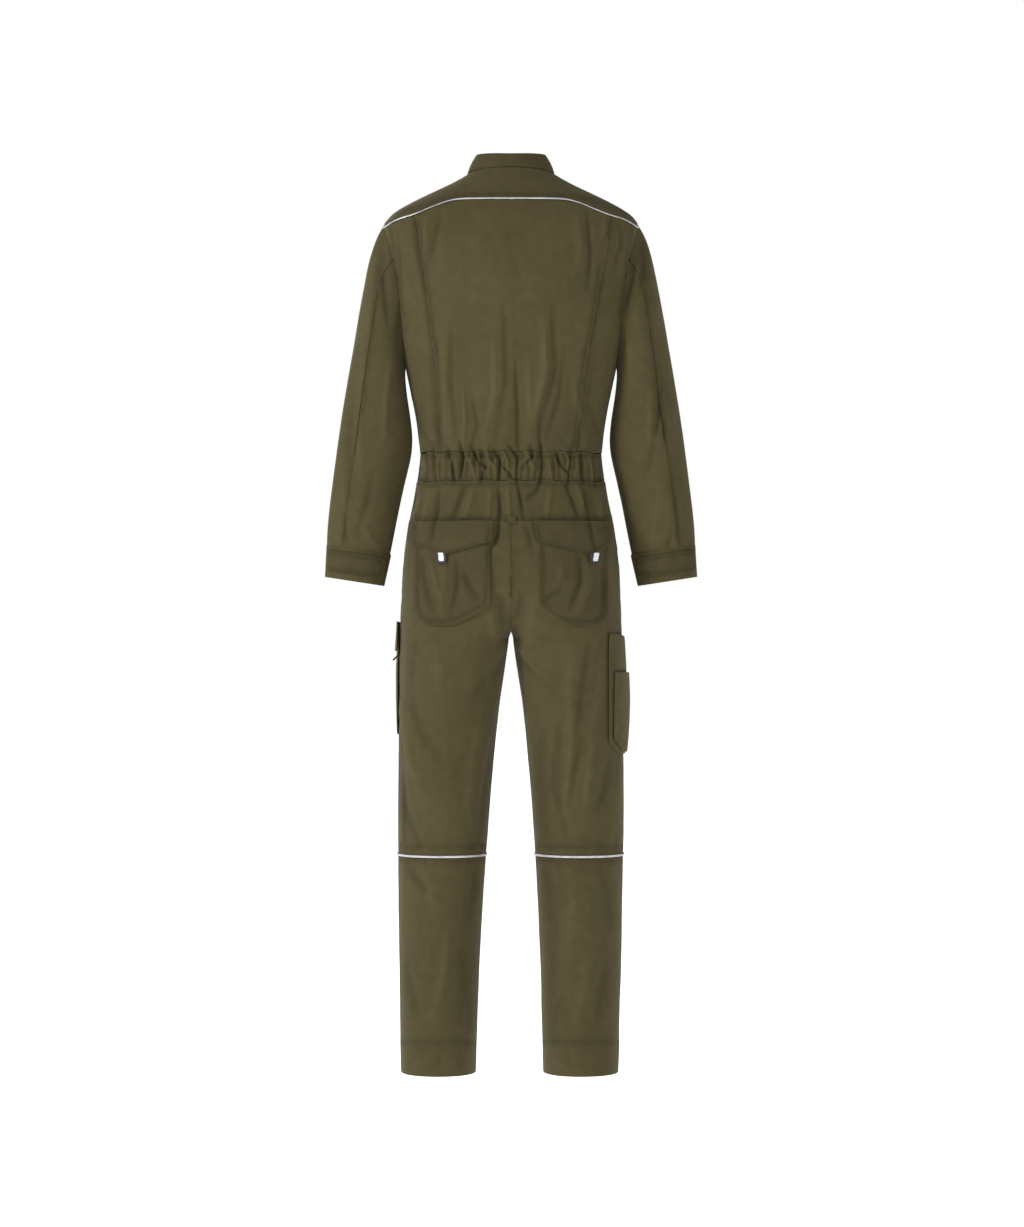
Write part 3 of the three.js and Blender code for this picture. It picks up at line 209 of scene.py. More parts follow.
GATHERS = [
    # x1, z1, x2, z2, x3, z3, height, width
    (152, -478, 145, -508, 149, -539, -3.4, 3.1), (138, -462, 135, -500, 130, -539, -3.6, 3.5),
    (122, -483, 128, -511, 122, -542, 3.0, 3.5), (112, -472, 105, -504, 98, -542, -4.3, 3.5),
    (91, -462, 84, -490, 88, -532, -4.8, 3.5), (79, -483, 65, -511, 61, -536, 3.4, 3.5),
    (72, -469, 58, -500, 38, -514, -4.6, 3.5), (52, -480, 47, -511, 54, -542, -3.9, 3.5),
    (44, -469, 38, -497, 24, -514, 3.6, 3.5), (32, -476, 21, -494, 21, -536, -5.2, 3.5),
    (14, -480, 5, -500, 9, -532, 3.4, 3.5), (21, -500, 5, -518, -2, -528, -3.6, 3.1),
    (7, -469, -12, -490, -10, -539, -4.8, 3.5), (-23, -476, -33, -497, -40, -514, 3.6, 3.5),
    (-33, -469, -38, -490, -19, -514, -3.6, 3.5), (-52, -462, -56, -500, -52, -539, -4.8, 3.5),
    (-70, -480, -66, -508, -74, -539, 3.0, 3.5), (-77, -483, -86, -504, -103, -522, -4.6, 3.5),
    (-91, -476, -100, -497, -96, -536, 3.0, 3.5), (-105, -469, -103, -504, -100, -542, -4.3, 3.5),
    (-121, -476, -124, -511, -126, -542, -4.3, 3.5), (-135, -480, -138, -508, -142, -539, 3.0, 3.5),
    (-147, -472, -145, -508, -147, -542, -3.6, 3.5), (-161, -483, -158, -511, -159, -539, 2.5, 3.5),
    (175, -483, 172, -511, 177, -539, 2.5, 3.5), (164, -472, 161, -508, 163, -539, -3.0, 3.5),
]


CREASE_DEPTH = 1.6
CREASE_WIDTH = 0.82


def ease(t):
    t = np.clip(t, 0, 1)
    return t * t * (3 - 2 * t)


def path_distance(x, z, points):
    """Distance in mm from each (x, z) to a path, and how far along it, 0 to 1, the nearest spot is."""
    near = np.full(len(x), 1e6)
    along = np.zeros(len(x))
    parts = len(points) - 1
    for part, ((ax, az), (bx, bz)) in enumerate(zip(points, points[1:])):
        dx, dz = bx - ax, bz - az
        t = np.clip(((x - ax) * dx + (z - az) * dz) / (dx * dx + dz * dz), 0, 1)
        distance = np.hypot(x - ax - t * dx, z - az - t * dz)
        closer = distance < near
        near[closer] = distance[closer]
        along[closer] = (part + t[closer]) / parts
    return near, along


def as_seen(points):
    """Where the camera sees points of the back on the suit's middle plane, in mm."""
    share = CAMERA_SPOT.y / (CAMERA_SPOT.y - points[:, 1])
    x = (CAMERA_SPOT.x + (points[:, 0] - CAMERA_SPOT.x) * share) / MM
    z = (CAMERA_SPOT.z + (points[:, 2] - CAMERA_SPOT.z) * share) / MM
    return x, z


def crease_lift(creases, x, z):
    lift = np.zeros(len(x))
    for x1, z1, x2, z2, x3, z3, height, width in creases:
        reach = 3 * width
        low_x, high_x = min(x1, x2, x3) - reach, max(x1, x2, x3) + reach
        low_z, high_z = min(z1, z2, z3) - reach, max(z1, z2, z3) + reach
        close = np.flatnonzero((x > low_x) & (x < high_x) & (z > low_z) & (z < high_z))
        if len(close):
            near, along = path_distance(x[close], z[close], ((x1, z1), (x2, z2), (x3, z3)))
            taper = np.clip(4 * along * (1 - along), 0, 1) ** 0.7
            lift[close] += CREASE_DEPTH * height * taper * np.exp(-(near / (CREASE_WIDTH * width)) ** 2)
    return lift


LEG_MIDDLES = ((735, 870, 1092, 1568), (98, 104, 117, 126))
SLEEVE_MIDDLES = ((100, 200, 300, 400, 500, 700), (212, 222, 229, 235, 247, 272))


def outward(points, limb):
    """Level direction away from the middle of the torso, of each leg or of each sleeve."""
    x, y, z = points.T / MM
    if limb == "sleeve":
        middle, depth = np.interp(-z, *SLEEVE_MIDDLES), 1.4
    else:
        leg = ease((-720 - z) / 180)
        middle, depth = np.interp(-z, *LEG_MIDDLES) * leg, 2.0 - leg
    direction = np.stack([x - np.sign(x) * middle, y * depth, np.zeros(len(x))], 1)
    return direction / np.maximum(np.linalg.norm(direction, axis=1, keepdims=True), 1e-6)


def waist_wave(x, z):
    """How far the elastic pulls the waist seams up and down, in mm."""
    wave = 1.5 * np.sin(x / 7.3 + 0.6 * np.sin(x / 19)) * np.exp(-((z + 486) / 11) ** 2)
    return wave + 1.3 * np.sin(x / 9.1 + 2 + 0.8 * np.sin(x / 23)) * np.exp(-((z + 541) / 11) ** 2)


surfaces = {}
SEAM_HALF_WIDTH = 4.6
RIM_ANGLE = math.radians(42)


def cloth_shell(node, back_creases=(), front_creases=(), levels=2, limb="body", proud=0.0, finish=None,
                wrinkle=0.5, seams=(), nudge=None):
    """A panel as thin cloth on its solid's form: smoothed between its cut edges, then creased.

    proud lifts it, wrinkle is the height of its slight unevenness, both in mm, and seams are the
    topstitched paths that draw it in and along which painted shade darkens it. nudge moves the points
    of its edges over the next panel's.
    """
    mesh = nodes[node].data.copy()
    piece = bpy.data.objects.new(f"{node}_cloth", mesh)
    bpy.context.scene.collection.objects.link(piece)
    bm = bmesh.new()
    bm.from_mesh(mesh)
    bmesh.ops.remove_doubles(bm, verts=bm.verts, dist=0.03 * MM)
    bmesh.ops.recalc_face_normals(bm, faces=bm.faces)
    bmesh.ops.join_triangles(bm, faces=bm.faces, angle_face_threshold=math.radians(38),
                             angle_shape_threshold=math.radians(75))
    crease = bm.edges.layers.float.get("crease_edge") or bm.edges.layers.float.new("crease_edge")
    for edge in bm.edges:
        if len(edge.link_faces) == 2 and edge.calc_face_angle(0) > RIM_ANGLE:
            edge[crease] = 0.9
    bm.to_mesh(mesh)
    bm.free()
    smoother = piece.modifiers.new("smooth", "SUBSURF")
    smoother.levels = smoother.render_levels = levels
    smooth = bpy.data.meshes.new_from_object(piece.evaluated_get(bpy.context.evaluated_depsgraph_get()))
    piece.modifiers.clear()
    piece.data = smooth
    smooth.name = piece.name
    points = np.zeros(len(smooth.vertices) * 3)
    smooth.vertices.foreach_get("co", points)
    points = points.reshape(-1, 3)
    back = points[:, 1] >= 0
    x, z = as_seen(points)
    x = np.where(back, x, points[:, 0] / MM)
    z = np.where(back, z, points[:, 2] / MM)
    lift = np.where(back, crease_lift(back_creases, x, z), crease_lift(front_creases, x, z))
    lift *= ease(np.abs(points[:, 1]) / (22 * MM))
    drawn_in = np.zeros(len(points))
    for path in seams:
        near, _ = path_distance(x, z, path)
        drawn_in = np.maximum(drawn_in, np.where(back, np.exp(-(near / SEAM_HALF_WIDTH) ** 2), 0))
    bumps = np.array([[noise.noise(Vector((p[0] * f + f, p[1] * f, p[2] * f * 0.6))) for f in (14, 42, 105)]
                      for p in points])
    lift += wrinkle * (bumps[:, 0] + 0.5 * bumps[:, 1]) + drawn_in * (1.6 * bumps[:, 2] - 0.35)
    points += outward(points, limb) * ((lift + proud) * MM)[:, None]
    points[:, 2] += np.where(back, waist_wave(x, z), 0) * ease(np.abs(points[:, 1]) / (30 * MM)) * MM
    if nudge:
        nudge(points, smooth)
    smooth.vertices.foreach_set("co", points.reshape(-1).astype(np.float32))
    # Painted fold shading: higher ridges are painted lighter, deeper troughs darker.
    painted_fold_shading = smooth.attributes.new("painted_fold_shading", "FLOAT", "POINT")
    painted_fold_shading.data.foreach_set("value", np.clip(0.4 + 0.15 * lift, 0, 1).astype(np.float32))
    # The seam mask also paints shade along the seams.
    seam = smooth.attributes.new("seam", "FLOAT", "POINT")
    seam.data.foreach_set("value", drawn_in.astype(np.float32))
    smooth.materials.clear()
    smooth.materials.append(finish or twill)
    smooth.polygons.foreach_set("use_smooth", np.ones(len(smooth.polygons), dtype=bool))
    smooth.set_sharp_from_angle(angle=math.radians(48))
    smooth.update()
    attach(piece, "root")
    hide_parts(node)
    surfaces[node] = BVHTree.FromPolygons(points.tolist(), [tuple(p.vertices) for p in smooth.polygons])
    return piece


def mirrored(points):
    return [(-x, z) for x, z in points]


LEFT_SEAM = [(171, -77), (163, -121), (158, -156), (151, -200), (145, -252), (138, -296), (133, -348),
             (130, -392), (130, -444), (128, -486)]
RIGHT_SEAM = [(-177, -81), (-168, -121), (-161, -165), (-152, -235), (-142, -278), (-131, -340), (-126, -392),
              (-119, -444), (-116, -486)]


def moved(path, x=0.0, z=0.0):
    return [(a + x, b + z) for a, b in path]


ARMHOLES = [[(211, -92), (203, -150), (189, -243)], [(-211, -92), (-203, -150), (-189, -243)]]
back_seams = [moved(LEFT_SEAM, -6), moved(RIGHT_SEAM, 6)]
folds = BACK_CREASES + GATHERS
back_centre = cloth_shell("back_centre", folds, levels=3, seams=back_seams)
for side in ("left", "right"):
    panel = cloth_shell(f"back_side_{side}", folds, levels=3, seams=[LEFT_SEAM, RIGHT_SEAM] + ARMHOLES)

# Topstitching: tonal polyester thread, one stitch modelled and copied along each row at 3.2 mm.
bpy.ops.object.select_all(action="DESELECT")
bpy.ops.mesh.primitive_uv_sphere_add(segments=5, ring_count=3, radius=1)
one_stitch = bpy.context.object
STITCH_HALF = (1.3, 0.36, 0.26)
STITCH_PITCH = 3.2
TWIN_ROWS = (5, 10.5)
bpy.ops.object.mode_set(mode="EDIT")
bpy.ops.transform.rotate(value=math.radians(90), orient_axis="Y", center_override=(0, 0, 0))
bpy.ops.transform.resize(value=[MM * half for half in STITCH_HALF], center_override=(0, 0, 0))
bpy.ops.object.mode_set(mode="OBJECT")
stitch_points = np.array([v.co[:] for v in one_stitch.data.vertices])
stitch_faces = [tuple(p.vertices) for p in one_stitch.data.polygons]
bpy.data.objects.remove(one_stitch)
thread = twill_finish("olive_thread", (0.050, 0.041, 0.016), (0.088, 0.073, 0.030))


def first_hit(start, heading, onto):
    best = None
    for name in onto:
        spot, normal, _, distance = surfaces[name].ray_cast(start, heading)
        if spot and (best is None or distance < best[2]):
            best = (spot, normal, distance)
    return best


def seen_from(view, a, b):
    """Ray through (a, b) in mm: the photograph's camera, the front, a side, or between the legs."""
    if view == "back":
        return CAMERA_SPOT, Vector((a * MM, 0, b * MM)) - CAMERA_SPOT
    if view == "front":
        return Vector((a * MM, -1, b * MM)), Vector((0, 1, 0))
    if view in ("left", "right"):
        sign = 1 if view == "left" else -1
        return Vector((sign, a * MM, b * MM)), Vector((-sign, 0, 0))
    return Vector((0, a * MM, b * MM)), Vector((1 if view == "inner_left" else -1, 0, 0))


def lay_row(spots):
    """Stitches along one row of surface spots, each (place, normal), as points and faces."""
    points, faces = [], []
    carried = STITCH_PITCH * MM / 2
    for (a, normal), (b, _) in zip(spots, spots[1:]):
        step = b - a
        length = step.length
        if length < 1e-6 or length > 12 * MM:
            continue
        along = step / length
        up = (normal - along * normal.dot(along)).normalized()
        across = up.cross(along)
        while carried < length:
            centre = a + along * carried + up * 0.12 * MM
            frame_axes = np.array([along, across, up])
            faces += [tuple(i + len(points) * len(stitch_points) for i in face) for face in stitch_faces]
            points.append(stitch_points @ frame_axes + np.array(centre))
            carried += STITCH_PITCH * MM
        carried -= length
    return points, faces


def sew(name, rows, onto, view="back"):
    """Thread laid on the shells along rows of (a, b) paths in mm, or on ready surface spots."""
    all_points, all_faces = [], []
    for row in rows:
        if view == "spots":
            spots = row
        else:
            spots = []
            for (a1, b1), (a2, b2) in zip(row, row[1:]):
                count = max(2, int(math.hypot(a2 - a1, b2 - b1) / 1.5))
                for i in range(count):
                    start, heading = seen_from(view, a1 + (a2 - a1) * i / count, b1 + (b2 - b1) * i / count)
                    hit = first_hit(start, heading.normalized(), onto)
                    if hit:
                        spots.append(hit[:2])
        points, faces = lay_row(spots)
        shift = len(all_points) * len(stitch_points)
        all_points += points
        all_faces += [tuple(i + shift for i in face) for face in faces]
    mesh = bpy.data.meshes.new(name)
    mesh.from_pydata(np.concatenate(all_points).tolist(), [], all_faces)
    mesh.polygons.foreach_set("use_smooth", np.ones(len(mesh.polygons), dtype=bool))
    for mask in ("painted_fold_shading", "seam"):
        mesh.attributes.new(mask, "FLOAT", "POINT")
    mesh.materials.append(thread)
    stitching = bpy.data.objects.new(name, mesh)
    bpy.context.scene.collection.objects.link(stitching)
    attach(stitching, "root")
    return stitching


def round_row(middle, slope, onto):
    """One row all round a limb or the waist, through (x, z) in mm, falling by slope to its outside."""
    spots = []
    for step in range(241):
        angle = math.radians(1.5 * step)
        heading = Vector((-math.cos(angle), -math.sin(angle), 0))
        heading.z = heading.x * slope
        start = Vector((middle[0] * MM, 0, middle[1] * MM)) - heading * 0.4
        hit = first_hit(start, heading.normalized(), onto)
        if hit:
            spots.append(hit[:2])
    return spots


back_rows = [moved(LEFT_SEAM, -5), moved(LEFT_SEAM, -10.5), moved(RIGHT_SEAM, 5), moved(RIGHT_SEAM, 10.5)]
sew("back_stitching", back_rows, ["back_centre"])

# Yoke: one twill piece over both shoulders, edge stitched above the piped seam that it overhangs.
YOKE_EDGE = [(199, -72), (182, -69), (150, -60), (124, -50), (95, -42), (60, -40), (0, -39), (-60, -40),
             (-98, -42), (-138, -49), (-156, -55), (-182, -66), (-203, -73)]
yoke = cloth_shell("yoke", levels=2, seams=[moved(YOKE_EDGE, z=8)])
sew("yoke_stitching", [moved(YOKE_EDGE, z=6), moved(YOKE_EDGE, z=11.5)], ["yoke"])

# Fronts: plain, because the photograph doesn't show them. A stitched fly covers the closed zip.
FRONT_CREASES = [
    # x1, z1, x2, z2, x3, z3, height, width
    (150, -120, 134, -220, 122, -320, 2.2, 9), (-148, -126, -136, -240, -118, -330, 2.2, 9),
    (176, -200, 150, -250, 110, -286, -2.2, 8), (-178, -206, -152, -256, -114, -296, -2.0, 8),
    (96, -70, 84, -160, 88, -240, -1.8, 9), (-92, -74, -86, -170, -90, -250, -1.6, 9),
    (60, -210, 52, -300, 56, -380, 1.6, 9), (-58, -230, -52, -320, -56, -400, 1.6, 9),
    (142, -330, 138, -400, 132, -478, -2.2, 6), (-146, -336, -140, -404, -136, -478, -2.2, 6),
    (118, -370, 112, -430, 110, -520, 2.2, 6), (-120, -360, -116, -430, -112, -524, 2.2, 6),
    (98, -340, 92, -420, 96, -530, -2.6, 6), (-96, -330, -92, -420, -94, -530, -2.6, 6),
    (74, -400, 72, -450, 74, -536, 2.0, 5), (-70, -390, -74, -450, -72, -536, 2.0, 5),
    (54, -380, 52, -450, 56, -530, -2.4, 5), (-50, -386, -54, -450, -54, -530, -2.4, 5),
    (36, -420, 36, -460, 38, -530, 1.6, 5), (-34, -410, -38, -456, -36, -530, 1.6, 5),
    (156, -430, 154, -480, 150, -530, 1.8, 5), (-154, -430, -152, -480, -150, -530, 1.8, 5),
    (50, -545, 84, -620, 112, -700, 2.0, 9), (-54, -548, -86, -626, -118, -706, 2.0, 9),
    (96, -540, 112, -590, 124, -640, -2.0, 8), (-98, -540, -116, -594, -128, -640, -2.0, 8),
    (20, -720, 50, -770, 96, -806, -2.6, 8), (-22, -724, -52, -776, -100, -812, -2.6, 8),
    (24, -770, 62, -810, 120, -836, 2.2, 9), (-26, -772, -64, -814, -124, -842, 2.2, 9),
    (10, -800, 40, -850, 84, -890, -1.8, 8), (-12, -802, -44, -856, -88, -896, -1.8, 8),
    (120, -880, 108, -960, 116, -1050, -1.8, 12), (-118, -890, -106, -970, -118, -1060, -1.8, 12),
    (90, -1080, 118, -1120, 160, -1150, -2.2, 9), (-88, -1084, -116, -1126, -160, -1156, -2.2, 9),
    (84, -1140, 120, -1170, 158, -1176, 1.8, 8), (-84, -1144, -118, -1172, -156, -1178, 1.8, 8),
    (76, -1200, 96, -1260, 90, -1360, -1.8, 10), (-74, -1204, -92, -1270, -90, -1370, -1.8, 10),
    (160, -1230, 146, -1310, 150, -1400, 1.8, 10), (-158, -1240, -146, -1320, -148, -1410, 1.8, 10),
    (96, -1400, 120, -1470, 150, -1520, -1.6, 11), (-92, -1404, -116, -1476, -148, -1524, -1.6, 11),
]
for side in ("left", "right"):
    panel = cloth_shell(f"front_body_{side}", folds, FRONT_CREASES)
fly = cloth_shell("front_fly", (), FRONT_CREASES, finish=twill_painted_shade, proud=0.3, wrinkle=0.3)
FLY_ROWS = [[(x, -72), (x, -300), (x, -500), (x, -716)] for x in (-17, -11.5, 17)]
sew("fly_stitching", FLY_ROWS, ["front_fly"], "front")

# Collar: a stand sewn to the neck edge, and a doubled fall turned down over it.


def into_neck(points, mesh):
    """The stand's lower edge is caught inside the neck edge."""
    rim = {v for p in mesh.polygons if p.normal.z < -0.8 for v in p.vertices}
    points[list(rim)] -= (0, 0, 2.0 * MM)


stand = cloth_shell("collar_stand", finish=twill_painted_shade, wrinkle=0.2, nudge=into_neck)
fall = cloth_shell("collar_fall", levels=3, finish=twill_painted_shade, wrinkle=0.4)
FALL_EDGE = [(67, 12), (54, 16), (30, 18), (-7, 20), (-48, 18), (-72, 12)]
sew("collar_stitching", [FALL_EDGE], ["collar_fall"])

# Waist and seat: a casing gathered across the back by the elastic inside it, above a plain seat
# yoke. A small stitched bar marks the middle of the seat seam.
SEAT_CREASES = [
    # x1, z1, x2, z2, x3, z3, height, width
    (126, -539, 130, -588, 140, -646, -4.1, 5), (140, -542, 147, -581, 158, -620, 2.9, 6),
    (79, -536, 89, -567, 103, -606, -3.8, 5), (65, -539, 72, -574, 82, -602, 2.6, 6),
    (21, -536, 19, -588, 30, -646, -4.6, 4), (35, -542, 37, -578, 40, -602, 2.6, 5),
    (-10, -528, -18, -567, -23, -602, -4.1, 4), (5, -539, 4, -570, 2, -602, 2.6, 5),
    (-56, -528, -47, -550, -23, -570, -3.5, 5), (-72, -539, -66, -570, -61, -602, 2.3, 6),
    (-94, -532, -107, -564, -122, -602, -4.3, 5), (-112, -536, -124, -567, -138, -606, 2.9, 5),
    (-126, -539, -133, -588, -147, -658, -4.6, 5), (-147, -542, -152, -578, -158, -606, 2.6, 6),
    (163, -542, 170, -570, 178, -602, -2.6, 6),
]
CASING_ROWS = [[(x, z) for x in range(170, -171, -20)] for z in (-481, -490, -531)]
SEAT_ROW = [(176, -597), (120, -599), (60, -600), (0, -600), (-60, -600), (-120, -599), (-178, -597)]
waist = cloth_shell("waist_casing", folds + SEAT_CREASES, FRONT_CREASES, levels=3, wrinkle=1.0,
                    seams=CASING_ROWS[1:])
seat_yoke = cloth_shell("seat_yoke", GATHERS + SEAT_CREASES, FRONT_CREASES, levels=3, wrinkle=0.8,
                        seams=[SEAT_ROW, moved(CASING_ROWS[2], z=-8)])
cloth_shell("centre_back_bar", SEAT_CREASES, proud=0.3, finish=twill_painted_shade, wrinkle=0.1)
torso = ["back_centre", "back_side_left", "back_side_right", "front_body_left", "front_body_right"]
sew("waist_stitching", [round_row((0, -481), 0, torso), round_row((0, -490), 0, ["waist_casing"]),
                        round_row((0, -531), 0, ["waist_casing"])], [], "spots")
sew("seat_stitching", [SEAT_ROW, moved(SEAT_ROW, z=6)], ["seat_yoke"])
BAR_OUTLINE = [(9, -594), (-3, -594), (-3, -607), (9, -607), (9, -594)]
sew("bar_stitching", [BAR_OUTLINE], ["centre_back_bar"])
for sign, view in ((1, "left"), (-1, "right")):
    sew(f"side_stitching_{view}", [[(a, -345), (a, -400), (a, -478)] for a in TWIN_ROWS],
        [f"back_side_{view}", f"front_body_{view}"], view)

# Legs: back and front panels joined at the side and inside leg, cut across by the piped knee seam,
# and turned up at the hem.
LEG_CREASES = [
    # x1, z1, x2, z2, x3, z3, height, width
    (16, -609, 33, -646, 44, -672, -1.8, 5), (-23, -609, -33, -628, -40, -665, -1.6, 5),
    (156, -658, 149, -716, 136, -763, -3.0, 7), (114, -672, 117, -721, 124, -770, 2.2, 8),
    (94, -665, 93, -721, 107, -774, -3.0, 6), (86, -686, 72, -716, 51, -746, -2.8, 8),
    (142, -665, 131, -707, 124, -742, 1.6, 5), (-119, -658, -122, -707, -102, -763, -3.4, 6),
    (-138, -672, -131, -721, -112, -774, 2.4, 7), (-156, -672, -161, -724, -156, -774, -2.2, 6),
    (-56, -747, -74, -732, -96, -718, -2.2, 7), (-86, -672, -89, -696, -79, -724, 1.4, 8),
    (19, -724, 12, -768, 7, -812, -3.2, 9), (-23, -724, -14, -768, -5, -812, -3.2, 9),
    (40, -742, 30, -791, 23, -838, 1.6, 9), (-44, -735, -33, -791, -23, -838, 1.6, 9),
    (7, -812, 26, -850, 47, -900, 2.0, 6), (-7, -812, -30, -847, -60, -889, 2.0, 6),
    (9, -830, 33, -868, 72, -917, -1.8, 8), (-12, -830, -37, -868, -72, -900, -2.2, 7),
    (-60, -900, -94, -917, -138, -924, -1.2, 7), (177, -900, 159, -966, 114, -1040, -3.0, 11),
    (191, -917, 177, -1022, 145, -1113, 2.2, 10), (196, -1015, 186, -1102, 156, -1180, -3.0, 9),
    (30, -966, 44, -1064, 58, -1172, -2.8, 9), (47, -917, 65, -1022, 75, -1144, 1.6, 10),
    (131, -812, 124, -882, 142, -952, 1.6, 12), (163, -794, 170, -847, 173, -900, -2.0, 8),
    (-142, -805, -130, -875, -117, -978, -3.0, 9), (-163, -830, -152, -917, -138, -996, 2.0, 8),
    (-108, -812, -103, -900, -100, -987, 2.0, 10), (-86, -952, -75, -1057, -100, -1172, -2.8, 8),
    (-112, -926, -100, -1040, -89, -1127, 2.6, 8), (-126, -978, -114, -1036, -105, -1092, -2.2, 6),
    (-145, -970, -136, -1048, -128, -1110, 2.4, 7), (-175, -1001, -161, -1074, -152, -1118, -2.6, 8),
    (-51, -952, -52, -1057, -65, -1176, -2.2, 10), (-187, -1040, -182, -1110, -173, -1176, 1.6, 8),
    (186, -1200, 163, -1232, 142, -1258, -2.6, 8), (159, -1197, 142, -1241, 131, -1302, 1.6, 9),
    (61, -1197, 65, -1241, 74, -1302, -2.6, 8), (110, -1320, 117, -1398, 138, -1474, 2.2, 9),
    (187, -1354, 173, -1424, 159, -1477, -2.2, 10), (86, -1337, 82, -1416, 72, -1494, -2.0, 10),
    (117, -1521, 124, -1540, 128, -1564, -1.2, 7), (-61, -1200, -72, -1302, -75, -1442, -2.6, 9),
    (-156, -1200, -166, -1250, -177, -1320, -2.4, 8), (-112, -1214, -103, -1302, -96, -1372, 1.8, 11),
    (-135, -1354, -128, -1424, -110, -1494, 2.0, 10), (-166, -1372, -156, -1442, -149, -1503, -2.0, 9),
    (-89, -1416, -79, -1460, -72, -1512, -1.6, 8), (-100, -1522, -103, -1544, -100, -1564, -1.2, 7),
]
KNEE_ROWS = [[(x, z) for x in range(-195, 196, 30)] for z in (-1172, -1196)]
HEM_ROWS = [[(x, -1515) for x in range(-195, 196, 30)]]
SEAT_SEAM = [(0, -606), (-2, -700), (0, -800)]
SIDE_ROWS = [[(190, -640), (196, -900), (186, -1180)], [(-184, -640), (-192, -900), (-184, -1180)]]
CROTCH = -806


def close_centre(points, mesh):
    """The seat seam is sewn shut down to the crotch, so both sides' edges meet at the middle."""
    x, z = points[:, 0] / MM, points[:, 2] / MM
    shut = ease((z - CROTCH) / 10) * ease((5 - np.abs(x)) / 2)
    points[:, 0] -= shut * x * MM


LEG_CUTS = {
    # node: (width, length, area) in metres, levels
    "back_leg": (0.32, 0.6, 0.169, 3), "front_leg": (0.31, 0.655, 0.179, 2),
    "back_lower_leg": (0.25, 0.385, 0.0912, 3), "front_lower_leg": (0.25, 0.385, 0.0902, 2),
}
for side, sign in (("left", 1), ("right", -1)):
    for node, (width, length, area, levels) in LEG_CUTS.items():
        panel = cloth_shell(f"{node}_{side}", SEAT_CREASES + LEG_CREASES, FRONT_CREASES, levels,
                            wrinkle=0.8, seams=KNEE_ROWS + HEM_ROWS + SIDE_ROWS + [SEAT_SEAM],
                            nudge=None if "lower" in node else close_centre)
    upper = [f"back_leg_{side}", f"front_leg_{side}"]
    lower = [f"back_lower_leg_{side}", f"front_lower_leg_{side}"]
    rows = [round_row((sign * 121, z), 0, upper) for z in (-1176, -1170.5)]
    rows += [round_row((sign * 121, z), 0, lower) for z in (-1195.5, -1201)]
    rows += [round_row((sign * 127, z), 0, lower) for z in (-1514, -1520)]
    sew(f"knee_and_hem_stitching_{side}", rows, [], "spots")
    rows = [[(a, z) for z in range(-610, -1166, -40)] for a in TWIN_ROWS]
    sew(f"outer_leg_stitching_{side}", rows, upper, side)
    rows = [[(a, z) for z in range(-1210, -1512, -40)] for a in TWIN_ROWS]
    sew(f"outer_shin_stitching_{side}", rows, lower, side)
    rows = [[(a, z) for z in range(-840, -1166, -40)] for a in TWIN_ROWS]
    sew(f"inside_leg_stitching_{side}", rows, upper, f"inner_{side}")
sew("seat_seam_stitching", [[(x, -614), (x, -700), (x, -780)] for x in (-7, -12.5)], ["back_leg_right"])

# Sleeves: an outer and an under panel, then a doubled cuff drawn in by a round-ended tab.
SLEEVE_CREASES = [
    # x1, z1, x2, z2, x3, z3, height, width
    (278, -392, 284, -480, 282, -567, -2.6, 8), (261, -322, 264, -427, 261, -528, 2.0, 9),
    (229, -112, 224, -182, 215, -270, -2.4, 7), (247, -130, 250, -217, 257, -304, 1.8, 9),
    (194, -217, 198, -287, 194, -366, -2.2, 6), (208, -304, 219, -392, 222, -480, 1.6, 8),
    (238, -514, 250, -576, 271, -637, -2.0, 8), (290, -584, 289, -620, 282, -648, -1.8, 5),
    (261, -602, 243, -637, 222, -658, 1.4, 6), (-226, -108, -234, -150, -228, -203, -3.0, 6),
    (-214, -130, -212, -182, -194, -248, -2.8, 6), (-243, -150, -252, -217, -257, -287, 1.8, 8),
    (-194, -217, -205, -296, -215, -374, 1.6, 8), (-261, -343, -261, -406, -252, -462, -3.2, 6),
    (-270, -413, -270, -441, -268, -466, -2.8, 4), (-247, -357, -243, -427, -240, -483, 2.2, 6),
    (-282, -392, -280, -441, -278, -490, 2.0, 6), (-252, -462, -243, -500, -229, -532, -2.0, 6),
    (-275, -514, -289, -584, -296, -646, -1.8, 9), (-261, -550, -252, -602, -243, -651, 1.6, 8),
    (-282, -620, -275, -640, -273, -658, -1.8, 4),
]
SLEEVE_FRONT_CREASES = [
    # x1, z1, x2, z2, x3, z3, height, width
    (262, -370, 240, -424, 206, -452, -2.8, 7), (-258, -376, -236, -430, -204, -460, -2.8, 7),
    (250, -430, 232, -466, 200, -486, 2.2, 7), (-250, -440, -230, -474, -200, -492, 2.2, 7),
    (276, -330, 256, -376, 222, -404, 1.8, 8), (-272, -336, -250, -382, -220, -410, 1.8, 8),
    (240, -140, 226, -220, 214, -300, 2.0, 9), (-238, -140, -226, -224, -212, -306, 2.0, 9),
    (256, -520, 262, -580, 280, -640, -2.0, 8), (-252, -510, -260, -576, -278, -640, -2.0, 8),
]
SLEEVE_SEAM = [(235, -160), (236, -196), (248, -297), (259, -397), (278, -499), (290, -600), (293, -642)]
CUFF_TOP = ((266, -657), 0.143)
TAB_EDGE = [(315, -659), (275, -665), (235, -671), (225, -676), (220, -685), (225, -694), (237, -698),
            (275, -692), (315, -687)]


def into_armhole(points, mesh):
    """The sleeve head reaches under the edge of the armhole that it's sewn to."""
    share = ease((points[:, 2] / MM + 430) / 160) * MM
    points[:, 0] -= np.sign(points[:, 0]) * 1.5 * share
    points[:, 2] += 0.8 * share


def under_outer_sleeve(points, mesh):
    """The under sleeve also reaches beneath the outer one along the forearm seams."""
    into_armhole(points, mesh)
    share = ease((-points[:, 2] / MM - 450) / 90) * MM
    points[:, 0] += np.sign(points[:, 0]) * 1.4 * share


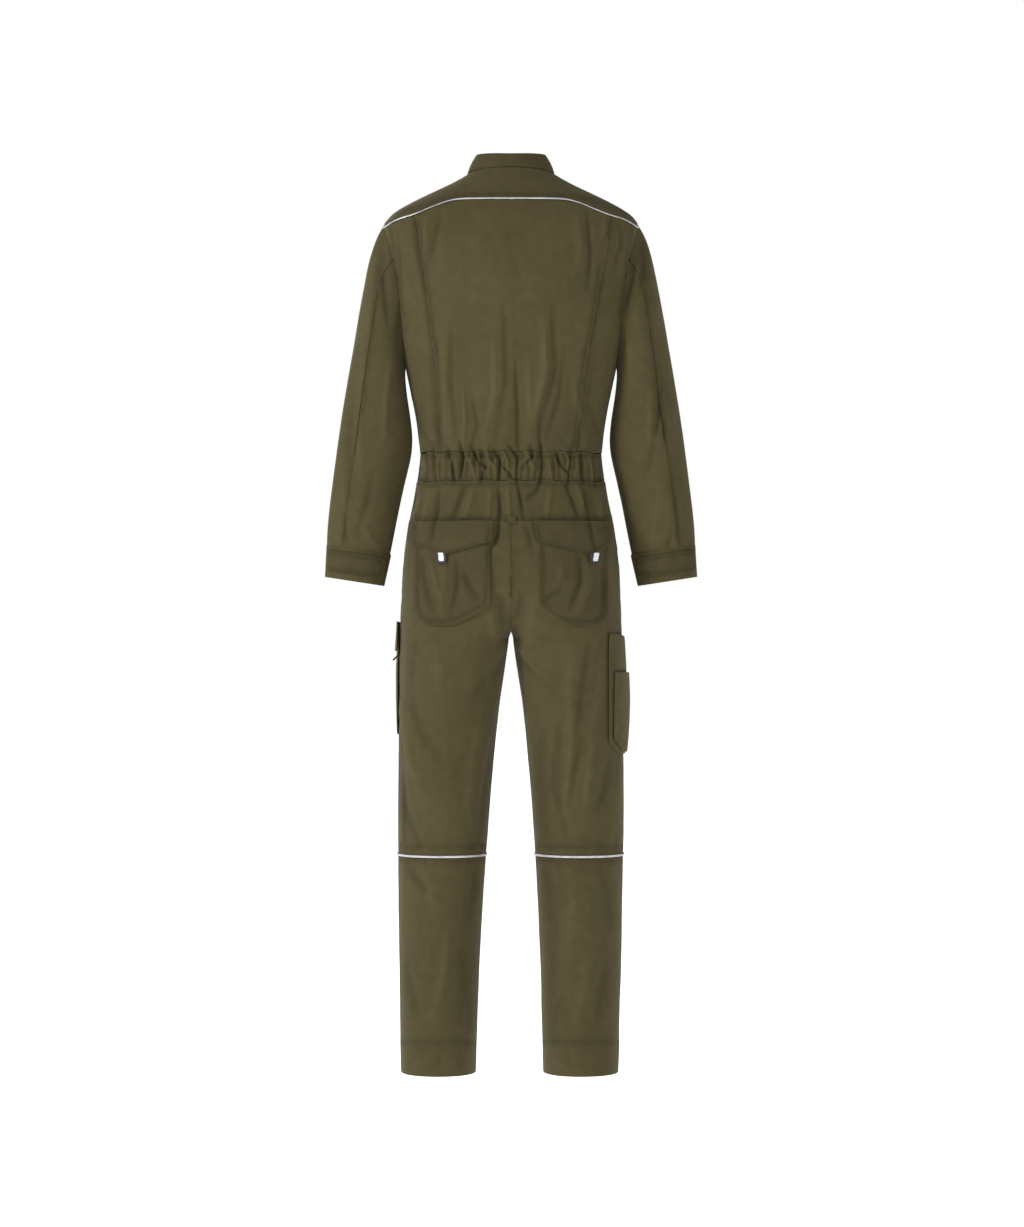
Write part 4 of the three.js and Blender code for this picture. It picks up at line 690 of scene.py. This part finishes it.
def into_sleeve(points, mesh):
    """The cuff's top edge is caught inside the end of the sleeve."""
    rim = {v for p in mesh.polygons if p.normal.z > 0.8 for v in p.vertices}
    points[list(rim)] += (0, 0, 3.2 * MM)


for side, sign in (("left", 1), ("right", -1)):
    seam = SLEEVE_SEAM if sign > 0 else mirrored(SLEEVE_SEAM)
    outer = cloth_shell(f"sleeve_outer_{side}", SLEEVE_CREASES, SLEEVE_FRONT_CREASES, limb="sleeve",
                        seams=[seam] + ARMHOLES, nudge=into_armhole)
    under = cloth_shell(f"sleeve_under_{side}", SLEEVE_CREASES, SLEEVE_FRONT_CREASES, 3, "sleeve",
                        seams=[seam] + ARMHOLES, nudge=under_outer_sleeve)
    cuff = cloth_shell(f"cuff_{side}", SLEEVE_CREASES, limb="sleeve", wrinkle=0.8, nudge=into_sleeve)
    outline = TAB_EDGE if sign > 0 else mirrored(TAB_EDGE)
    tab = cloth_shell(f"cuff_tab_{side}", limb="sleeve", levels=3, proud=1.7, finish=twill_painted_shade,
                      wrinkle=0.5, seams=[outline])
    sew(f"sleeve_stitching_{side}", [moved(seam, sign * -5), moved(seam, sign * -10.5)],
        [f"sleeve_under_{side}"])
    (x, z), slope = CUFF_TOP
    rows = [round_row((sign * x, z - 6), sign * slope, [f"cuff_{side}"]),
            round_row((sign * (x + 6), z - 48), sign * slope, [f"cuff_{side}"])]
    sew(f"cuff_stitching_{side}", rows, [], "spots")
    sew(f"cuff_tab_stitching_{side}", [outline], [f"cuff_tab_{side}"])
    tack = [[(sign * x, z) for x, z in path] for path in
            (((279, -644), (290, -661)), ((281, -643), (292, -660)), ((276, -661), (290, -662)))]
    sew(f"cuff_tack_stitching_{side}", tack, [f"sleeve_under_{side}", f"sleeve_outer_{side}"])

# Back pockets: patch pockets with rounded corners, topstitched twice, under flaps drawn to a point.
# Dark woven loops with a pale face hang at the points.
HIPS = SEAT_CREASES + LEG_CREASES
POCKET_OUTLINES = {
    "left": [(166, -645), (166, -760), (157, -776), (140, -783), (118, -784), (98, -779), (63, -763),
             (42, -750), (37, -700), (37, -645)],
    "right": [(-168, -645), (-168, -765), (-162, -779), (-130, -784), (-91, -780), (-65, -765), (-53, -748),
              (-52, -700), (-52, -645)],
}
FLAP_EDGES = {
    "left": [(172, -612), (174, -643), (117, -665), (36, -643), (32, -612)],
    "right": [(-170, -612), (-172, -643), (-141, -665), (-46, -641), (-40, -612)],
}


def inset(path, middle, by):
    """The path drawn in towards a middle, by mm."""
    drawn = []
    for a, b in path:
        away = math.hypot(middle[0] - a, middle[1] - b)
        drawn.append((a + (middle[0] - a) * by / away, b + (middle[1] - b) * by / away))
    return drawn


POCKET_MIDDLES = {"left": (105, -700), "right": (-112, -700)}
FLAP_MIDDLES = {"left": (105, -620), "right": (-108, -620)}
POCKET_CUTS = {"left": (0.145, 0.18, 0.0249), "right": (0.13, 0.18, 0.0222)}
FLAP_CUTS = {"left": (0.15, 0.062, 0.0087), "right": (0.142, 0.062, 0.008)}
for side in ("left", "right"):
    outline = inset(POCKET_OUTLINES[side], POCKET_MIDDLES[side], 4)
    pocket = cloth_shell(f"back_pocket_{side}", HIPS, levels=3, proud=0.9, wrinkle=0.8, seams=[outline],
                         finish=twill_painted_shade)
    width, length, area = POCKET_CUTS[side]
    edge = inset(FLAP_EDGES[side], FLAP_MIDDLES[side], 5)
    flap = cloth_shell(f"flap_{side}", HIPS, levels=3, proud=1.9, wrinkle=0.8, seams=[edge],
                       finish=twill_painted_shade)
    width, length, area = FLAP_CUTS[side]
    sew(f"back_pocket_stitching_{side}", [outline, inset(POCKET_OUTLINES[side], POCKET_MIDDLES[side], 9.5)],
        [f"back_pocket_{side}"])
    sew(f"flap_stitching_{side}", [edge, inset(FLAP_EDGES[side], FLAP_MIDDLES[side], 10)], [f"flap_{side}"])

woven_dark = bpy.data.materials.new("woven_dark")
woven_dark.use_nodes = True
tree = woven_dark.node_tree
shader = tree.nodes["Principled BSDF"]
place = tree.nodes.new("ShaderNodeTexCoord").outputs["Object"]
threads = tree.nodes.new("ShaderNodeValToRGB")
threads.color_ramp.elements[0].color = (0.006, 0.006, 0.007, 1)
threads.color_ramp.elements[1].color = (0.026, 0.026, 0.029, 1)
link(tree, cloud(tree, place, 1200), threads.inputs["Fac"])
band = tree.nodes.new("ShaderNodeAttribute")
band.attribute_name = "pale"
pale_weave = tree.nodes.new("ShaderNodeValToRGB")
pale_weave.color_ramp.elements[0].color = (0.52, 0.53, 0.54, 1)
pale_weave.color_ramp.elements[1].color = (0.80, 0.81, 0.81, 1)
link(tree, cloud(tree, place, 1500), pale_weave.inputs["Fac"])
faces = tree.nodes.new("ShaderNodeMix")
faces.data_type = "RGBA"
link(tree, band.outputs["Fac"], faces.inputs["Factor"])
link(tree, threads.outputs["Color"], faces.inputs[6])
link(tree, pale_weave.outputs["Color"], faces.inputs[7])
link(tree, faces.outputs[2], shader.inputs["Base Color"])
ribs = tree.nodes.new("ShaderNodeBump")
ribs.inputs["Strength"].default_value = 0.3
ribs.inputs["Distance"].default_value = 0.0003
link(tree, cloud(tree, place, 1500), ribs.inputs["Height"])
link(tree, ribs.outputs["Normal"], shader.inputs["Normal"])
shader.inputs["Roughness"].default_value = 0.75
PALE_HALF_WIDTH = 4.3
for side, lean in (("left", 0.12), ("right", -0.18)):
    tab = cloth_shell(f"flap_tab_{side}", levels=3, proud=1.1, finish=woven_dark, wrinkle=0.1)
    low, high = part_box(f"flap_tab_{side}")
    middle = (low[0] + high[0]) / 2
    pale = tab.data.attributes.new("pale", "FLOAT", "POINT")
    for vertex in tab.data.vertices:
        x, _, z = vertex.co
        across = abs(x - middle - lean * (z - low[2]) + 0.001) / MM
        inside = across < PALE_HALF_WIDTH and z > low[2] + 4.6 * MM
        pale.data[vertex.index].value = 1.0 if inside else 0.0
zip_tape = cloth_shell("front_zip_strip", (), FRONT_CREASES, finish=woven_dark, wrinkle=0.1)
zip_tape.data.attributes.new("pale", "FLOAT", "POINT")

# Thigh pockets: bags sewn over the side seam. The right one carries a shorter outer bag, the left
# one a flap, and a cord tail shows at its back edge.
CORNER_WIDTH = 16
CORNER_HEIGHT = 22
THIGH_CUTS = {
    # node: (width, length, area) in metres, lift in mm
    "thigh_pocket_right": (0.195, 0.212, 0.0399, 0.4),
    "thigh_pocket_right_outer": (0.18, 0.142, 0.0246, 0.8),
    "thigh_pocket_left": (0.18, 0.198, 0.034, 0.4),
    "thigh_pocket_left_flap": (0.185, 0.056, 0.0096, 0.8),
}
for node, (width, length, area, lift) in THIGH_CUTS.items():
    side = "right" if "right" in node else "left"
    bag = cloth_shell(node, HIPS, FRONT_CREASES, 3, proud=lift, wrinkle=1.2)
    low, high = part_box(node)
    front, back, bottom, top = low[1] / MM, high[1] / MM, low[2] / MM, high[2] / MM
    rows = []
    for by in TWIN_ROWS:
        left, right, base = front + by, back - by, bottom + by
        rows.append([(left, top - by - 4), (left, base + CORNER_HEIGHT), (left + CORNER_WIDTH, base + 3),
                     (right - CORNER_WIDTH, base + 3), (right, base + CORNER_HEIGHT), (right, top - by - 14)])
    if "outer" in node or "flap" not in node:
        rows.append([(front + 6, top - 12), (back - 6, top - 18)])
    sew(f"{node}_stitching", rows, [node], side)
cloth_shell("thigh_cord_tail", proud=0.3, finish=twill_painted_shade, wrinkle=0.0)

# Piping: a cord wrapped in retroreflective silver film, caught in the yoke and knee seams.
silver_film = bpy.data.materials.new("silver_film")
silver_film.use_nodes = True
tree = silver_film.node_tree
shader = tree.nodes["Principled BSDF"]
place = tree.nodes.new("ShaderNodeTexCoord").outputs["Object"]
film = tree.nodes.new("ShaderNodeValToRGB")
for element, position, grey in zip(film.color_ramp.elements, (0.3, 0.7), (0.34, 0.52)):
    element.position = position
    element.color = (grey, grey * 1.02, grey * 1.03, 1)
link(tree, cloud(tree, place, 70, 3), film.inputs["Fac"])
link(tree, film.outputs["Color"], shader.inputs["Base Color"])
beads = tree.nodes.new("ShaderNodeTexVoronoi")
beads.inputs["Scale"].default_value = 1400
link(tree, place, beads.inputs["Vector"])
grain = tree.nodes.new("ShaderNodeBump")
grain.inputs["Strength"].default_value = 0.3
grain.inputs["Distance"].default_value = 0.0002
link(tree, beads.outputs["Distance"], grain.inputs["Height"])
link(tree, grain.outputs["Normal"], shader.inputs["Normal"])
shader.inputs["Roughness"].default_value = 0.4
shader.inputs["Metallic"].default_value = 0.2


def thinner(points, mesh):
    """Only part of the cord's width stands out of the seam."""
    normals = np.zeros(len(mesh.vertices) * 3, dtype=np.float32)
    mesh.vertices.foreach_get("normal", normals)
    points -= normals.reshape(-1, 3) * 0.55 * MM


cloth_shell("yoke_piping", finish=silver_film, wrinkle=0.1, nudge=thinner)
for side in ("left", "right"):
    cloth_shell(f"knee_piping_{side}", proud=0.5, finish=silver_film, wrinkle=0.1,
                nudge=thinner)

# Floor and light: a plain pale floor in a white studio. A broad soft light from the upper left, a
# weaker one from the right and one on the front let the folds read softly.
bpy.ops.object.select_all(action="DESELECT")
bpy.ops.mesh.primitive_plane_add(size=60, location=(0, 0, -1.86))
floor = bpy.context.object
floor.name = "studio_floor"
floor_paint = bpy.data.materials.new("pale_floor")
floor_paint.use_nodes = True
tree = floor_paint.node_tree
shader = tree.nodes["Principled BSDF"]
place = tree.nodes.new("ShaderNodeTexCoord").outputs["Object"]
tone = tree.nodes.new("ShaderNodeValToRGB")
tone.color_ramp.elements[0].color = (0.93, 0.93, 0.93, 1)
tone.color_ramp.elements[1].color = (0.96, 0.96, 0.96, 1)
link(tree, cloud(tree, place, 3), tone.inputs["Fac"])
link(tree, tone.outputs["Color"], shader.inputs["Base Color"])
link(tree, tone.outputs["Color"], shader.inputs["Emission Color"])
shader.inputs["Emission Strength"].default_value = 1.0
shader.inputs["Roughness"].default_value = 0.9
floor.data.materials.append(floor_paint)
floor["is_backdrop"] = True

SHADE_FILL = 0.36
world = bpy.data.worlds.new("white_studio")
bpy.context.scene.world = world
world.use_nodes = True
tree = world.node_tree
sky = tree.nodes["Background"]
sky.inputs["Color"].default_value = (1, 1, 1, 1)
rays = tree.nodes.new("ShaderNodeLightPath")
brightness = combine(tree, "MULTIPLY", rays.outputs["Is Camera Ray"], 1 - SHADE_FILL)
link(tree, combine(tree, "ADD", brightness, SHADE_FILL), sky.inputs["Strength"])
SOFT_LIGHTS = (
    # name, place, size, power
    ("key", (3.6, 2.6, 1.4), (1.0, 1.4), 165),
    ("fill", (-2.6, 4.6, 0.4), (1.8, 2.4), 60),
    ("front", (1.2, -4.0, 1.0), (2.0, 2.4), 90),
)
for name, spot, (width, height), power in SOFT_LIGHTS:
    lamp = bpy.data.lights.new(name, "AREA")
    lamp.shape = "RECTANGLE"
    lamp.size = width
    lamp.size_y = height
    lamp.energy = power
    light = bpy.data.objects.new(name, lamp)
    light.location = spot
    light.rotation_euler = (Vector((0, 0, -0.75)) - Vector(spot)).to_track_quat("-Z", "Y").to_euler()
    bpy.context.scene.collection.objects.link(light)
bpy.context.scene.view_settings.view_transform = "Standard"

low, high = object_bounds()
